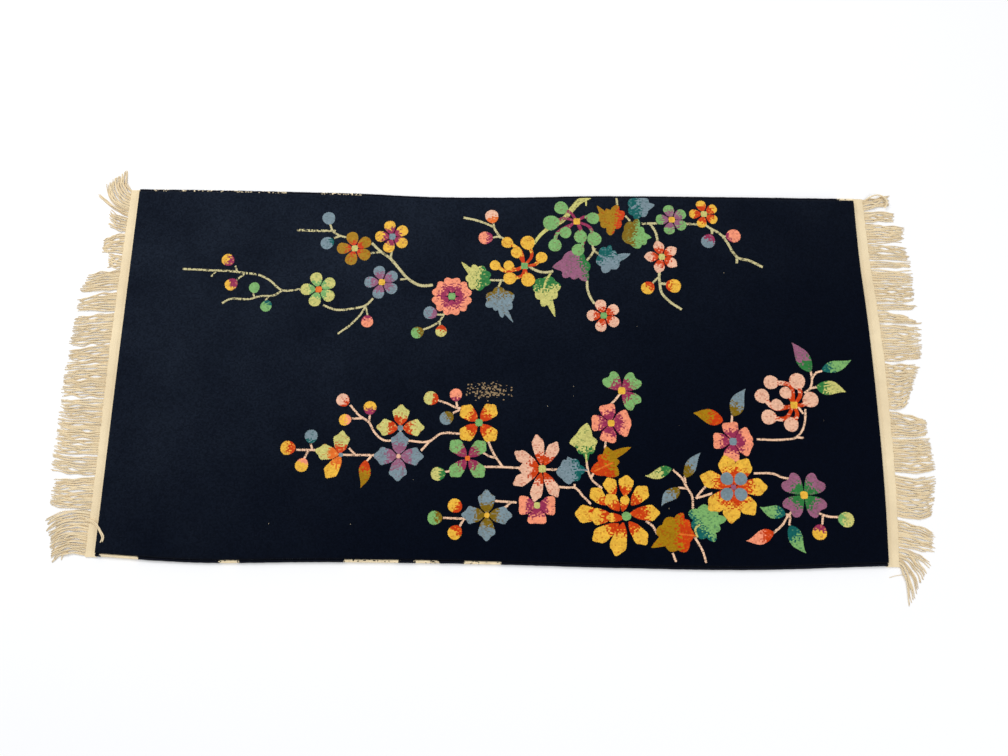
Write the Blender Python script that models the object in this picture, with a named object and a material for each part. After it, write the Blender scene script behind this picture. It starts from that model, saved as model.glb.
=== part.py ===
"""A Chinese Art Deco scatter rug, lying flat.

Five solids, as the rug is made: the knotted pile field, the overcast selvedge
along each long side, and at each end a flat woven end web whose warps run on as
a fringe. The fringe locks are fused to their web alone and stand apart from each
other. All of them lie on z = 0.

Metres, +Z up. +X runs along the rug and +Y across it, towards its far long side.
The tables below are in millimetres from the middle of the pile field. At the end
the whole rug is moved so that the origin is the middle of its box, at the bottom.
"""

from typing import Callable, NamedTuple

import bmesh
import bpy
import numpy as np

MM = 0.001

# Whole rug
FIELD_LENGTH = 1224.0
FIELD_WIDTH = 614.0
PIECE_GAP = 0.3

# Pile field: foundation and worn pile together
FIELD_HEIGHT = 10.5
FIELD_UNEVEN = 0.5
PILE_ROUND = 4.0
FIELD_COLUMNS = 30
FIELD_ROWS = 14
OUTLINE_ROUNDS = 3

# Overcast selvedge cords
SELVEDGE_WIDTH = 4.4
SELVEDGE_HEIGHT = 5.6
SELVEDGE_STEPS = 36

# End webs and their fringe
WEB_HEIGHT = 2.6
LOCK_PITCH = 6.6
LOCK_FILL = 0.66
LOCK_TIP_FILL = 0.6
LOCK_TIP_SLIMMEST = 1.3
LOCK_TIP_WIDEST = 3.4
LOCK_TOP = 0.62
LOCK_STEPS = 4
LENGTH_SCATTER = 0.035
SCATTER_SEED = 7


class EdgeRow(NamedTuple):
    """How far an edge stands out from its straight line at a place along it."""

    along: float
    out: float


FAR_EDGE = (
    EdgeRow(along=-612, out=0.7),
    EdgeRow(along=-490, out=0.5),
    EdgeRow(along=-330, out=-1.0),
    EdgeRow(along=-234, out=-2.5),
    EdgeRow(along=-114, out=-7.0),
    EdgeRow(along=5, out=-6.5),
    EdgeRow(along=176, out=-1.5),
    EdgeRow(along=347, out=-0.5),
    EdgeRow(along=612, out=-0.7),
)
NEAR_EDGE = (
    EdgeRow(along=-612, out=-1.7),
    EdgeRow(along=-477, out=5.6),
    EdgeRow(along=-247, out=2.8),
    EdgeRow(along=-17, out=3.0),
    EdgeRow(along=197, out=6.3),
    EdgeRow(along=397, out=6.8),
    EdgeRow(along=612, out=-1.7),
)
LEFT_END = (
    EdgeRow(along=-307, out=-0.8),
    EdgeRow(along=0, out=0.0),
    EdgeRow(along=307, out=-0.3),
)
RIGHT_END = (
    EdgeRow(along=-307, out=0.2),
    EdgeRow(along=-205, out=4.4),
    EdgeRow(along=-44, out=5.6),
    EdgeRow(along=107, out=2.6),
    EdgeRow(along=188, out=-0.9),
    EdgeRow(along=307, out=-1.9),
)
LEFT_WEB = (
    EdgeRow(along=-307, out=17.0),
    EdgeRow(along=-200, out=16.5),
    EdgeRow(along=44, out=19.0),
    EdgeRow(along=307, out=16.5),
)
RIGHT_WEB = (
    EdgeRow(along=-307, out=18.5),
    EdgeRow(along=-130, out=21.0),
    EdgeRow(along=28, out=22.0),
    EdgeRow(along=190, out=20.0),
    EdgeRow(along=307, out=17.5),
)


class Tuft(NamedTuple):
    """A bunch of fringe locks between two places along an end web.

    The locks leave the web at root_far to root_near. Their tips lie at tip_far to
    tip_near, each how far out from the web and where along it. A lock bends round
    a point that lies lead out from its root and bow along. From the far lock to
    the near one, lead grows by fan.
    """

    root_far: float
    root_near: float
    tip_far: tuple[float, float]
    tip_near: tuple[float, float]
    lead: float
    bow: float = 0.0
    fan: float = 0.0
    height: float = 2.6


# Each row: root_far, root_near, tip_far, tip_near and how the tuft bends.
LEFT_TUFTS = (
    Tuft(306, 268, (11, 346), (44, 317), lead=10, bow=5, fan=28, height=7.0),
    Tuft(266, 258, (56, 300), (53, 293), lead=24, bow=6, height=4.0),
    Tuft(256, 230, (31, 270), (30, 240), lead=18, bow=2, height=4.5),
    Tuft(228, 191, (35, 214), (34, 194), lead=20),
    Tuft(189, 164, (23, 190), (22, 168), lead=12),
    Tuft(162, 127, (52, 152), (62, 123), lead=26, bow=-2, height=3.4),
    Tuft(123, 90, (63, 111), (61, 90), lead=30, height=3.0),
    Tuft(87, 36, (62, 80), (66, 30), lead=30, bow=-4),
    Tuft(34, 10, (65, 22), (64, 6), lead=30, bow=-3),
    Tuft(8, -56, (66, 1), (69, -54), lead=34),
    Tuft(-58, -149, (67, -59), (69, -144), lead=34, bow=-2),
    Tuft(-151, -180, (70, -147), (69, -173), lead=34, bow=-2),
    Tuft(-184, -234, (65, -190), (63, -229), lead=34, bow=-2),
    Tuft(-238, -306, (68, -251), (48, -316), lead=36, bow=9, height=4.0),
)
RIGHT_TUFTS = (
    Tuft(306, 286, (46, 316), (44, 296), lead=22, bow=3, height=5.0),
    Tuft(284, 264, (50, 284), (51, 266), lead=24, bow=2, height=3.4),
    Tuft(262, 228, (64, 257), (60, 232), lead=30, bow=-1),
    Tuft(226, 198, (64, 220), (66, 196), lead=32, bow=-2),
    Tuft(195, 183, (67, 191), (66, 184), lead=32),
    Tuft(180, 123, (67, 178), (62, 125), lead=34, bow=-2),
    Tuft(120, 109, (65, 119), (62, 112), lead=30, bow=-2),
    Tuft(106, 86, (44, 97), (70, 86), lead=26),
    Tuft(84, 21, (66, 80), (60, 26), lead=30, bow=-2),
    Tuft(18, -58, (56, 16), (30, -48), lead=18, bow=-5, height=3.6),
    Tuft(-62, -104, (56, -74), (56, -100), lead=24, bow=-4, height=3.4),
    Tuft(-106, -160, (60, -106), (63, -158), lead=34, bow=-3),
    Tuft(-163, -229, (63, -166), (54, -228), lead=34, bow=-11, height=3.2),
    Tuft(-235, -275, (54, -252), (55, -284), lead=26, bow=-5, height=3.6),
    Tuft(-278, -305, (50, -297), (9, -367), lead=32, bow=-5, fan=-24, height=4.6),
)


def clear_scene() -> None:
    """Removes every object of the start-up scene."""
    for item in list(bpy.data.objects):
        bpy.data.objects.remove(item, do_unlink=True)


def smooth_read(rows: tuple[EdgeRow, ...], at: np.ndarray) -> np.ndarray:
    """Reads an edge table as one smooth curve: a cubic through the rows whose
    slope at each row is the mean slope of its two neighbours."""
    along = np.array([row.along for row in rows], float)
    out = np.array([row.out for row in rows], float)
    slope = np.gradient(out, along)
    at = np.clip(at, along[0], along[-1])
    cell = np.clip(np.searchsorted(along, at) - 1, 0, len(along) - 2)
    run = along[cell + 1] - along[cell]
    t = (at - along[cell]) / run
    return (
        (2 * t**3 - 3 * t**2 + 1) * out[cell]
        + (t**3 - 2 * t**2 + t) * run * slope[cell]
        + (3 * t**2 - 2 * t**3) * out[cell + 1]
        + (t**3 - t**2) * run * slope[cell + 1]
    )


def far_line(x: np.ndarray) -> np.ndarray:
    """The far long side's outer line, as y over x."""
    return FIELD_WIDTH / 2 + smooth_read(FAR_EDGE, x)


def near_line(x: np.ndarray) -> np.ndarray:
    """The near long side's outer line, as y over x."""
    return -FIELD_WIDTH / 2 - smooth_read(NEAR_EDGE, x)


def left_line(y: np.ndarray) -> np.ndarray:
    """The pile field's left end, as x over y."""
    return -FIELD_LENGTH / 2 - smooth_read(LEFT_END, y)


def right_line(y: np.ndarray) -> np.ndarray:
    """The pile field's right end, as x over y."""
    return FIELD_LENGTH / 2 + smooth_read(RIGHT_END, y)


def new_material(
    name: str, color: tuple[float, float, float], roughness: float
) -> bpy.types.Material:
    """A plain dyed yarn: a Principled BSDF with one colour."""
    material = bpy.data.materials.new(name)
    material.use_nodes = True
    shader = material.node_tree.nodes["Principled BSDF"]
    shader.inputs["Base Color"].default_value = (*color, 1.0)
    shader.inputs["Roughness"].default_value = roughness
    shader.inputs["Metallic"].default_value = 0.0
    return material


def new_object(
    name: str, mesh_builder: bmesh.types.BMesh, material: bpy.types.Material
) -> bpy.types.Object:
    """Turns finished mesh data, in millimetres, into an object in metres."""
    bmesh.ops.recalc_face_normals(mesh_builder, faces=mesh_builder.faces[:])
    bmesh.ops.scale(mesh_builder, vec=(MM, MM, MM), verts=mesh_builder.verts[:])
    mesh = bpy.data.meshes.new(name)
    mesh_builder.to_mesh(mesh)
    mesh_builder.free()
    mesh.materials.append(material)
    item = bpy.data.objects.new(name, mesh)
    bpy.context.collection.objects.link(item)
    return item


def spread(inset: float, size: float, steps: int) -> np.ndarray:
    """Places from 0 to size with three close steps at each end, for the rounded
    pile edge, and even steps between."""
    edge = np.array([0.0, 0.3, 1.0]) * inset
    middle = np.linspace(inset, size - inset, steps)[1:-1]
    return np.concatenate([edge, middle, size - edge[::-1]])


def pile_height(x: np.ndarray, y: np.ndarray, from_edge: np.ndarray) -> np.ndarray:
    """The pile's top: a quarter circle up from the edge, then a nearly level top
    with long, shallow waves."""
    near_edge = np.clip(1 - from_edge / PILE_ROUND, 0, 1)
    rounding = PILE_ROUND * (1 - np.sqrt(1 - near_edge**2))
    waves = np.sin(x / 83 + 0.6) * np.sin(y / 61 + 1.1) + 0.5 * np.sin(x / 37 - y / 52)
    return FIELD_HEIGHT - rounding + FIELD_UNEVEN * waves * (1 - near_edge) / 1.5


def build_pile_field() -> bpy.types.Object:
    """The knotted field: a grid of top points over a flat underside. The grid is
    fitted between the end lines and the long sides in turn, a few times over."""
    margin = SELVEDGE_WIDTH + PIECE_GAP
    along = spread(PILE_ROUND, FIELD_LENGTH, FIELD_COLUMNS)
    across = spread(PILE_ROUND, FIELD_WIDTH - 2 * margin, FIELD_ROWS)
    u, v = np.meshgrid(along / along[-1], across / across[-1], indexing="ij")
    x = (u - 0.5) * FIELD_LENGTH
    y = (v - 0.5) * FIELD_WIDTH
    for _ in range(OUTLINE_ROUNDS):
        x = left_line(y) * (1 - u) + right_line(y) * u
        y = (near_line(x) + margin) * (1 - v) + (far_line(x) - margin) * v
    from_edge = np.minimum(
        np.minimum(u, 1 - u) * along[-1], np.minimum(v, 1 - v) * across[-1]
    )
    z = pile_height(x, y, from_edge)

    build = bmesh.new()
    top = [
        [build.verts.new((x[i, j], y[i, j], z[i, j])) for j in range(len(across))]
        for i in range(len(along))
    ]
    for i in range(len(along) - 1):
        for j in range(len(across) - 1):
            build.faces.new(
                (top[i][j], top[i + 1][j], top[i + 1][j + 1], top[i][j + 1])
            )
    rim = [top[i][0] for i in range(len(along))]
    rim += [top[-1][j] for j in range(1, len(across))]
    rim += [top[i][-1] for i in range(len(along) - 2, -1, -1)]
    rim += [top[0][j] for j in range(len(across) - 2, 0, -1)]
    foot = [build.verts.new((vert.co.x, vert.co.y, 0.0)) for vert in rim]
    for k, vert in enumerate(rim):
        follows = (k + 1) % len(rim)
        build.faces.new((vert, foot[k], foot[follows], rim[follows]))
    build.faces.new(foot[::-1])
    navy = new_material("navy_wool", (0.006, 0.010, 0.030), 0.95)
    return new_object("pile_field", build, navy)


def build_selvedge(
    name: str, line: Callable[[np.ndarray], np.ndarray], outward: float
) -> bpy.types.Object:
    """One overcast edge cord: a low arched section, flat underneath, carried
    along a long side."""
    edge_y = np.array([outward * FIELD_WIDTH / 2])
    x = np.linspace(left_line(edge_y)[0], right_line(edge_y)[0], SELVEDGE_STEPS)
    outer = line(x)
    arch = np.radians([0, 60, 120, 180])
    half = SELVEDGE_WIDTH / 2
    section = [(half, 0.0)]
    section += [
        (half * np.cos(angle), SELVEDGE_HEIGHT * (0.45 + 0.55 * np.sin(angle)))
        for angle in arch
    ]
    section += [(-half, 0.0)]

    build = bmesh.new()
    rings = []
    for place, edge in zip(x, outer):
        middle = edge - outward * half
        rings.append(
            [build.verts.new((place, middle + side, up)) for side, up in section]
        )
    for one, two in zip(rings, rings[1:]):
        for k in range(len(section)):
            follows = (k + 1) % len(section)
            build.faces.new((one[k], one[follows], two[follows], two[k]))
    build.faces.new(rings[0])
    build.faces.new(rings[-1][::-1])
    return new_object(name, build, new_material(name + "_wool", (0.008, 0.010, 0.022), 0.9))


class Lock(NamedTuple):
    """One fringe lock, ready to be carried along its path."""

    root: float
    width: float
    tip: tuple[float, float]
    tip_width: float
    lead: float
    bow: float
    height: float


def tip_spacing(tuft: Tuft) -> float:
    """How wide the tuft is at its tips, measured square to its last run."""
    tip_far = np.array(tuft.tip_far, float)
    tip_near = np.array(tuft.tip_near, float)
    root = (tuft.root_far + tuft.root_near) / 2
    run = (tip_far + tip_near) / 2 - np.array([tuft.lead, root + tuft.bow])
    gap = tip_near - tip_far
    return abs(run[0] * gap[1] - run[1] * gap[0]) / float(np.linalg.norm(run))


def comb_tufts(tufts: tuple[Tuft, ...]) -> list[Lock]:
    """Divides each tuft into locks of about one pitch, from far to near, with
    slightly uneven lengths."""
    scatter = np.random.default_rng(SCATTER_SEED)
    locks = []
    for tuft in tufts:
        span = tuft.root_far - tuft.root_near
        tip_span = tip_spacing(tuft)
        count = max(1, round((span + tip_span) / 2 / LOCK_PITCH))
        tip_far = np.array(tuft.tip_far, float)
        tip_near = np.array(tuft.tip_near, float)
        tip_width = LOCK_TIP_FILL * tip_span / count
        for k in range(count):
            share = (k + 0.5) / count
            out, along = tip_far + (tip_near - tip_far) * share
            longer = 1 + LENGTH_SCATTER * scatter.uniform(-1, 1)
            locks.append(
                Lock(
                    root=tuft.root_far - span * share,
                    width=LOCK_FILL * span / count,
                    tip=(out * longer, along),
                    tip_width=min(max(tip_width, LOCK_TIP_SLIMMEST), LOCK_TIP_WIDEST),
                    lead=tuft.lead + tuft.fan * share,
                    bow=tuft.bow,
                    height=tuft.height,
                )
            )
    return locks


def lock_rings(lock: Lock, foot_x: float, side: float) -> list[list[tuple]]:
    """The lock's four-sided sections along a curve that leaves the web straight
    and bends once. Each is level with the floor and narrower at its top."""
    root = np.array([foot_x, lock.root])
    bend = root + np.array([side * lock.lead, lock.bow])
    tip = np.array([foot_x + side * lock.tip[0], lock.tip[1]])
    rings = []
    for step in range(1, LOCK_STEPS + 1):
        t = step / LOCK_STEPS
        middle = (1 - t) ** 2 * root + 2 * t * (1 - t) * bend + t**2 * tip
        run = (1 - t) * (bend - root) + t * (tip - bend)
        run /= np.linalg.norm(run)
        across = np.array([-run[1], run[0]]) * side
        half = 0.5 * (lock.width * (1 - t) + lock.tip_width * t)
        low = WEB_HEIGHT * 0.55
        rise = WEB_HEIGHT + (lock.height - WEB_HEIGHT) * np.sin(np.pi * t) ** 2
        height = rise * (1 - t**3) + low * t**3
        far_foot = middle + across * half
        near_foot = middle - across * half
        far_top = middle + across * half * LOCK_TOP
        near_top = middle - across * half * LOCK_TOP
        rings.append(
            [
                (*far_foot, 0.0),
                (*near_foot, 0.0),
                (*near_top, height),
                (*far_top, height),
            ]
        )
    return rings


def build_fringe(
    name: str,
    side: float,
    end_line: Callable[[np.ndarray], np.ndarray],
    web: tuple[EdgeRow, ...],
    tufts: tuple[Tuft, ...],
) -> bpy.types.Object:
    """One end web with its locks. The web's outer wall has a face for each lock
    root and one for each space between, and every lock grows from its face."""
    locks = comb_tufts(tufts)
    stations = [FIELD_WIDTH / 2]
    for lock in locks:
        stations += [lock.root + lock.width / 2, lock.root - lock.width / 2]
    stations.append(-FIELD_WIDTH / 2)
    y = np.array(stations)
    inner = end_line(y) + side * PIECE_GAP
    outer = inner + side * smooth_read(web, y)

    build = bmesh.new()
    corners = [
        [
            build.verts.new((inner[k], y[k], 0.0)),
            build.verts.new((outer[k], y[k], 0.0)),
            build.verts.new((outer[k], y[k], WEB_HEIGHT)),
            build.verts.new((inner[k], y[k], WEB_HEIGHT)),
        ]
        for k in range(len(y))
    ]
    for k in range(len(y) - 1):
        here = corners[k]
        there = corners[k + 1]
        for first, second in ((0, 1), (2, 3), (3, 0)):
            build.faces.new((here[first], here[second], there[second], there[first]))
        has_lock = k % 2 == 1
        if not has_lock:
            build.faces.new((here[1], here[2], there[2], there[1]))
            continue
        last = [here[1], there[1], there[2], here[2]]
        foot_x = float(outer[k] + outer[k + 1]) / 2
        for ring in lock_rings(locks[k // 2], foot_x, side):
            now = [build.verts.new(place) for place in ring]
            for m in range(4):
                follows = (m + 1) % 4
                build.faces.new((last[m], last[follows], now[follows], now[m]))
            last = now
        build.faces.new(last)
    build.faces.new(corners[0])
    build.faces.new(corners[-1][::-1])
    cotton = new_material(name + "_cotton", (0.80, 0.68, 0.47), 0.9)
    return new_object(name, build, cotton)


def centre_on_origin(pieces: list[bpy.types.Object]) -> None:
    """Moves all the mesh data so that the origin is the box's bottom middle."""
    corners = []
    for piece in pieces:
        places = np.empty(len(piece.data.vertices) * 3)
        piece.data.vertices.foreach_get("co", places)
        corners.append(places.reshape(-1, 3))
    every = np.concatenate(corners)
    middle = (every.min(0) + every.max(0)) / 2
    middle[2] = every[:, 2].min()
    for piece, places in zip(pieces, corners):
        piece.data.vertices.foreach_set("co", (places - middle).ravel())
        piece.data.update()


def main() -> None:
    """Builds the rug."""
    clear_scene()
    pieces = [
        build_pile_field(),
        build_selvedge("selvedge_far", far_line, 1.0),
        build_selvedge("selvedge_near", near_line, -1.0),
        build_fringe("fringe_left", -1.0, left_line, LEFT_WEB, LEFT_TUFTS),
        build_fringe("fringe_right", 1.0, right_line, RIGHT_WEB, RIGHT_TUFTS),
    ]
    centre_on_origin(pieces)


main()
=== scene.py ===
"""A Chinese Art Deco scatter rug, lying flat on a pale studio floor.

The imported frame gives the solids. Here the rug gets its looks: the knotted navy
pile with its two sprays of flowers, the overcast long sides, the woven end webs
and the loose cotton fringe.

The tables are in millimetres on the rug's own chart: x runs from the middle of
the pile towards the right fringe and y towards the far long side. Chart moves
them to the frame, which is in metres.
"""

import logging
import math
from dataclasses import dataclass, field
from enum import Enum
from typing import Any, Callable, NamedTuple, Sequence

import bpy
import numpy as np
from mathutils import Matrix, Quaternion, Vector
from mathutils.geometry import delaunay_2d_cdt


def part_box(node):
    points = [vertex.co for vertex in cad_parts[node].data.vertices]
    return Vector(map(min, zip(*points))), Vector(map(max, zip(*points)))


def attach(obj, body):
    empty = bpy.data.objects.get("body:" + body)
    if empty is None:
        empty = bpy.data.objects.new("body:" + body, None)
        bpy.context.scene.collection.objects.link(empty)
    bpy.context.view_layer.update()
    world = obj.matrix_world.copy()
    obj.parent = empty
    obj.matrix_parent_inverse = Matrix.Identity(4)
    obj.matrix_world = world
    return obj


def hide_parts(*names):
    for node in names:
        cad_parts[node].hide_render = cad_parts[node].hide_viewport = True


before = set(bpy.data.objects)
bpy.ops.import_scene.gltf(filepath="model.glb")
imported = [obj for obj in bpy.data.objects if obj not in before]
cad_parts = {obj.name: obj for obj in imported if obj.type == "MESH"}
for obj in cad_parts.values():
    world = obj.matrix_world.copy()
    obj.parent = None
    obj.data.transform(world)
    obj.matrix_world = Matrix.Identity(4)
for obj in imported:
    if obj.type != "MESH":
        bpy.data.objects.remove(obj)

Array = np.ndarray
Place = tuple[float, float]
Socket = bpy.types.NodeSocket

MM = 0.001
LOG = logging.getLogger("rug")


# Sizes that the solids have too


class EdgeRow(NamedTuple):
    """How far an edge stands out from its straight line at a place along it."""

    along: float
    out: float


FIELD_LENGTH = 1224.0
FIELD_WIDTH = 614.0
SELVEDGE_WIDTH = 4.4
SELVEDGE_HEIGHT = 5.6
PIECE_GAP = 0.3
FIELD_HEIGHT = 10.5
FIELD_UNEVEN = 0.5
PILE_ROUND = 4.0
WEB_HEIGHT = 2.6

FAR_EDGE = (
    EdgeRow(along=-612, out=0.7),
    EdgeRow(along=-490, out=0.5),
    EdgeRow(along=-330, out=-1.0),
    EdgeRow(along=-234, out=-2.5),
    EdgeRow(along=-114, out=-7.0),
    EdgeRow(along=5, out=-6.5),
    EdgeRow(along=176, out=-1.5),
    EdgeRow(along=347, out=-0.5),
    EdgeRow(along=612, out=-0.7),
)
NEAR_EDGE = (
    EdgeRow(along=-612, out=-1.7),
    EdgeRow(along=-477, out=5.6),
    EdgeRow(along=-247, out=2.8),
    EdgeRow(along=-17, out=3.0),
    EdgeRow(along=197, out=6.3),
    EdgeRow(along=397, out=6.8),
    EdgeRow(along=612, out=-1.7),
)
LEFT_END = (
    EdgeRow(along=-307, out=-0.8),
    EdgeRow(along=0, out=0.0),
    EdgeRow(along=307, out=-0.3),
)
RIGHT_END = (
    EdgeRow(along=-307, out=0.2),
    EdgeRow(along=-205, out=4.4),
    EdgeRow(along=-44, out=5.6),
    EdgeRow(along=107, out=2.6),
    EdgeRow(along=188, out=-0.9),
    EdgeRow(along=307, out=-1.9),
)
LEFT_WEB = (
    EdgeRow(along=-307, out=17.0),
    EdgeRow(along=-200, out=16.5),
    EdgeRow(along=44, out=19.0),
    EdgeRow(along=307, out=16.5),
)
RIGHT_WEB = (
    EdgeRow(along=-307, out=18.5),
    EdgeRow(along=-130, out=21.0),
    EdgeRow(along=28, out=22.0),
    EdgeRow(along=190, out=20.0),
    EdgeRow(along=307, out=17.5),
)


def smooth_read(rows: Sequence[EdgeRow], at: Array) -> Array:
    """Reads an edge table as one smooth curve: a cubic through the rows whose
    slope at each row is the mean slope of its two neighbours.

    Args:
        rows: The edge's table.
        at: Places along the edge.

    Returns:
        How far the edge stands out at each place.
    """
    along = np.array([row.along for row in rows], float)
    out = np.array([row.out for row in rows], float)
    slope = np.gradient(out, along)
    at = np.clip(at, along[0], along[-1])
    cell = np.clip(np.searchsorted(along, at) - 1, 0, len(along) - 2)
    run = along[cell + 1] - along[cell]
    t = (at - along[cell]) / run
    return (
        (2 * t**3 - 3 * t**2 + 1) * out[cell]
        + (t**3 - 2 * t**2 + t) * run * slope[cell]
        + (3 * t**2 - 2 * t**3) * out[cell + 1]
        + (t**3 - t**2) * run * slope[cell + 1]
    )


def far_line(x: Array) -> Array:
    """The far long side's outer line, as y over x."""
    return FIELD_WIDTH / 2 + smooth_read(FAR_EDGE, x)


def near_line(x: Array) -> Array:
    """The near long side's outer line, as y over x."""
    return -FIELD_WIDTH / 2 - smooth_read(NEAR_EDGE, x)


def left_line(y: Array) -> Array:
    """The pile's left end, as x over y."""
    return -FIELD_LENGTH / 2 - smooth_read(LEFT_END, y)


def right_line(y: Array) -> Array:
    """The pile's right end, as x over y."""
    return FIELD_LENGTH / 2 + smooth_read(RIGHT_END, y)


@dataclass(frozen=True)
class Chart:
    """Turns the rug's chart, in millimetres, into the frame, in metres."""

    shift: tuple[float, float, float]

    @classmethod
    def from_frame(cls) -> "Chart":
        """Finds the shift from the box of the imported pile.

        Returns:
            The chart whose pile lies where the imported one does.
        """
        low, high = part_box("pile_field")
        y = np.linspace(-FIELD_WIDTH / 2, FIELD_WIDTH / 2, 200)
        x = np.linspace(-FIELD_LENGTH / 2, FIELD_LENGTH / 2, 400)
        inset = SELVEDGE_WIDTH + PIECE_GAP
        return cls(
            (
                low[0] / MM - float(left_line(y).min()),
                high[1] / MM - float(far_line(x).max()) + inset,
                low[2] / MM,
            )
        )

    def metres(self, places: Array) -> Array:
        """Chart places (..., 3) in millimetres as frame places in metres."""
        return (np.asarray(places, float) + np.array(self.shift)) * MM


# Colours


class Dye(Enum):
    """Wool and cotton colours, as red, green and blue on a screen."""

    NAVY = (3, 7, 19)
    CORAL = (238, 146, 112)
    PEACH = (216, 156, 122)
    PALE_PEACH = (228, 178, 150)
    CRIMSON = (148, 48, 82)
    ORANGE_RED = (200, 62, 18)
    ORANGE = (226, 110, 40)
    YELLOW = (228, 176, 62)
    OCHRE = (160, 118, 16)
    BROWN_OCHRE = (124, 98, 20)
    GREEN = (120, 168, 100)
    DARK_GREEN = (48, 118, 60)
    OLIVE = (196, 190, 112)
    TEAL = (20, 92, 88)
    GREY_BLUE = (118, 136, 144)
    MAUVE = (145, 90, 116)
    FAR_TWIG = (194, 184, 136)
    NEAR_TWIG = (232, 190, 158)
    CREAM = (240, 221, 184)
    # cotton in painted shade, for the fringe's lower layers and the web's dip; the worn patch's
    # bare foundation uses it too
    SHADED_AND_BARE_COTTON = (196, 166, 124)

    def linear(self) -> tuple[float, float, float, float]:
        """The colour in linear light, with full cover."""
        shown = np.array(self.value) / 255
        light = np.where(shown <= 0.04045, shown / 12.92, ((shown + 0.055) / 1.055) ** 2.4)
        return (*(float(part) for part in light), 1.0)


# The knotted motifs


@dataclass(frozen=True)
class Patch:
    """Knots inside one outline, with one dye at the tip and another at the base.

    The two dyes meet at reach of the way from base to tip, and mix knot by knot
    over feather of that way.
    """

    outline: Array
    tip_dye: Dye
    base_dye: Dye
    base: Place
    tip: Place
    reach: float = 0.45
    feather: float = 0.3


class PetalCut(Enum):
    """How a petal is cut: its breadth at the base against its breadth further out,
    the depth of the notch at its tip, the length of a point there, and the depth
    and number of scallops round it."""

    ROUND = (0.55, 0.0, 0.0, 0.0, 0)
    HEART = (0.34, 0.17, 0.0, 0.0, 0)
    NOTCHED = (0.42, 0.13, 0.0, 0.045, 7)
    POINTED = (0.6, 0.0, 0.12, 0.0, 0)
    SCALLOPED = (0.4, 0.0, 0.02, 0.06, 6)
    HOLLY = (0.42, 0.0, 0.1, 0.075, 6)
    EGG = (0.8, 0.0, 0.0, 0.0, 0)


TURN = np.linspace(-np.pi, np.pi, 61)[:-1]


def petal_outline(base: Place, tip: Place, width: float, cut: PetalCut) -> Array:
    """An ellipse on the line from base to tip that narrows towards its base. A
    bell curve at the tip cuts the notch or draws out the point, and a cosine
    round the middle makes the scallops.

    Args:
        base: Where the petal starts.
        tip: Where it ends.
        width: Its greatest breadth.
        cut: How it is cut.

    Returns:
        The outline's points, (n, 2).
    """
    narrow, notch, point, scallop, count = cut.value
    start = np.array(base, float)
    axis = np.array(tip, float) - start
    side = np.array([-axis[1], axis[0]]) / np.hypot(*axis)
    fore = 0.5 + 0.5 * np.cos(TURN)
    breadth = np.sin(TURN) * (narrow + (1 - narrow) * fore)
    breadth *= width / 2 / breadth.max()
    bell = np.exp(-((TURN / 0.36) ** 2))
    along = fore - notch * bell + point * bell
    ripple = 1 + scallop * np.cos(count * TURN) * (0.3 + 0.7 * fore)
    along = 0.5 + (along - 0.5) * ripple
    return start + along[:, None] * axis + (breadth * ripple)[:, None] * side


def leaf_outline(base: Place, tip: Place, width: float, hook: float) -> Array:
    """A blade whose breadth grows as a sine and runs out to a fine point. Its
    middle line bends to one side, and hooks back near the tip.

    Args:
        base: Where the leaf starts.
        tip: Its point.
        width: Its greatest breadth.
        hook: How far the middle line bends to the left, in breadths.

    Returns:
        The outline's points, (n, 2).
    """
    start = np.array(base, float)
    axis = np.array(tip, float) - start
    side = np.array([-axis[1], axis[0]]) / np.hypot(*axis)
    t = np.linspace(0, 1, 26)
    half = width / 2 * np.sin(np.pi * t**0.85) ** 0.8 * (1 - 0.72 * t**3)
    bend = hook * width * (np.sin(np.pi * t) - 0.5 * np.sin(2 * np.pi * t))
    middle = start + t[:, None] * axis + bend[:, None] * side
    left = middle + half[:, None] * side
    right = middle - half[:, None] * side
    return np.concatenate([left[:-1], right[:0:-1]])


class LeafTip(NamedTuple):
    """A tip of a lobed leaf, and how sharp it is from 0, round, to 1, pointed."""

    x: float
    y: float
    sharp: float = 0.2


def lobed_outline(hub: Place, tips: Sequence[LeafTip], valley: float) -> Array:
    """A leaf as a radius round its hub. Between two tips the radius falls to a
    valley and rises again, as a cosine for a round tip and as one less a sine for
    a sharp one.

    Args:
        hub: The middle of the leaf.
        tips: The tips in any order.
        valley: The valleys' radius against the lower of their two tips.

    Returns:
        The outline's points, (n, 2).
    """
    middle = np.array(hub, float)
    arms = np.array([(tip.x, tip.y) for tip in tips], float) - middle
    turn = np.arctan2(arms[:, 1], arms[:, 0])
    order = np.argsort(turn)
    turn = turn[order]
    reach = np.hypot(arms[:, 0], arms[:, 1])[order]
    sharp = np.array([tip.sharp for tip in tips])[order]
    rings = []
    for k in range(len(turn)):
        follows = (k + 1) % len(turn)
        gap = (turn[follows] - turn[k]) % (2 * np.pi)
        step = np.linspace(0, 1, 15)[:-1]
        low = valley * min(reach[k], reach[follows])
        tall = np.where(step < 0.5, reach[k], reach[follows])
        keen = np.where(step < 0.5, sharp[k], sharp[follows])
        dome = np.abs(np.cos(np.pi * step)) ** 0.8
        spike = (1 - np.sin(np.pi * step)) ** 0.9
        radius = low + (tall - low) * (dome * (1 - keen) + spike * keen)
        angle = turn[k] + gap * step
        rings.append(
            np.stack([radius * np.cos(angle), radius * np.sin(angle)], axis=1) + middle
        )
    return np.concatenate(rings)


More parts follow.
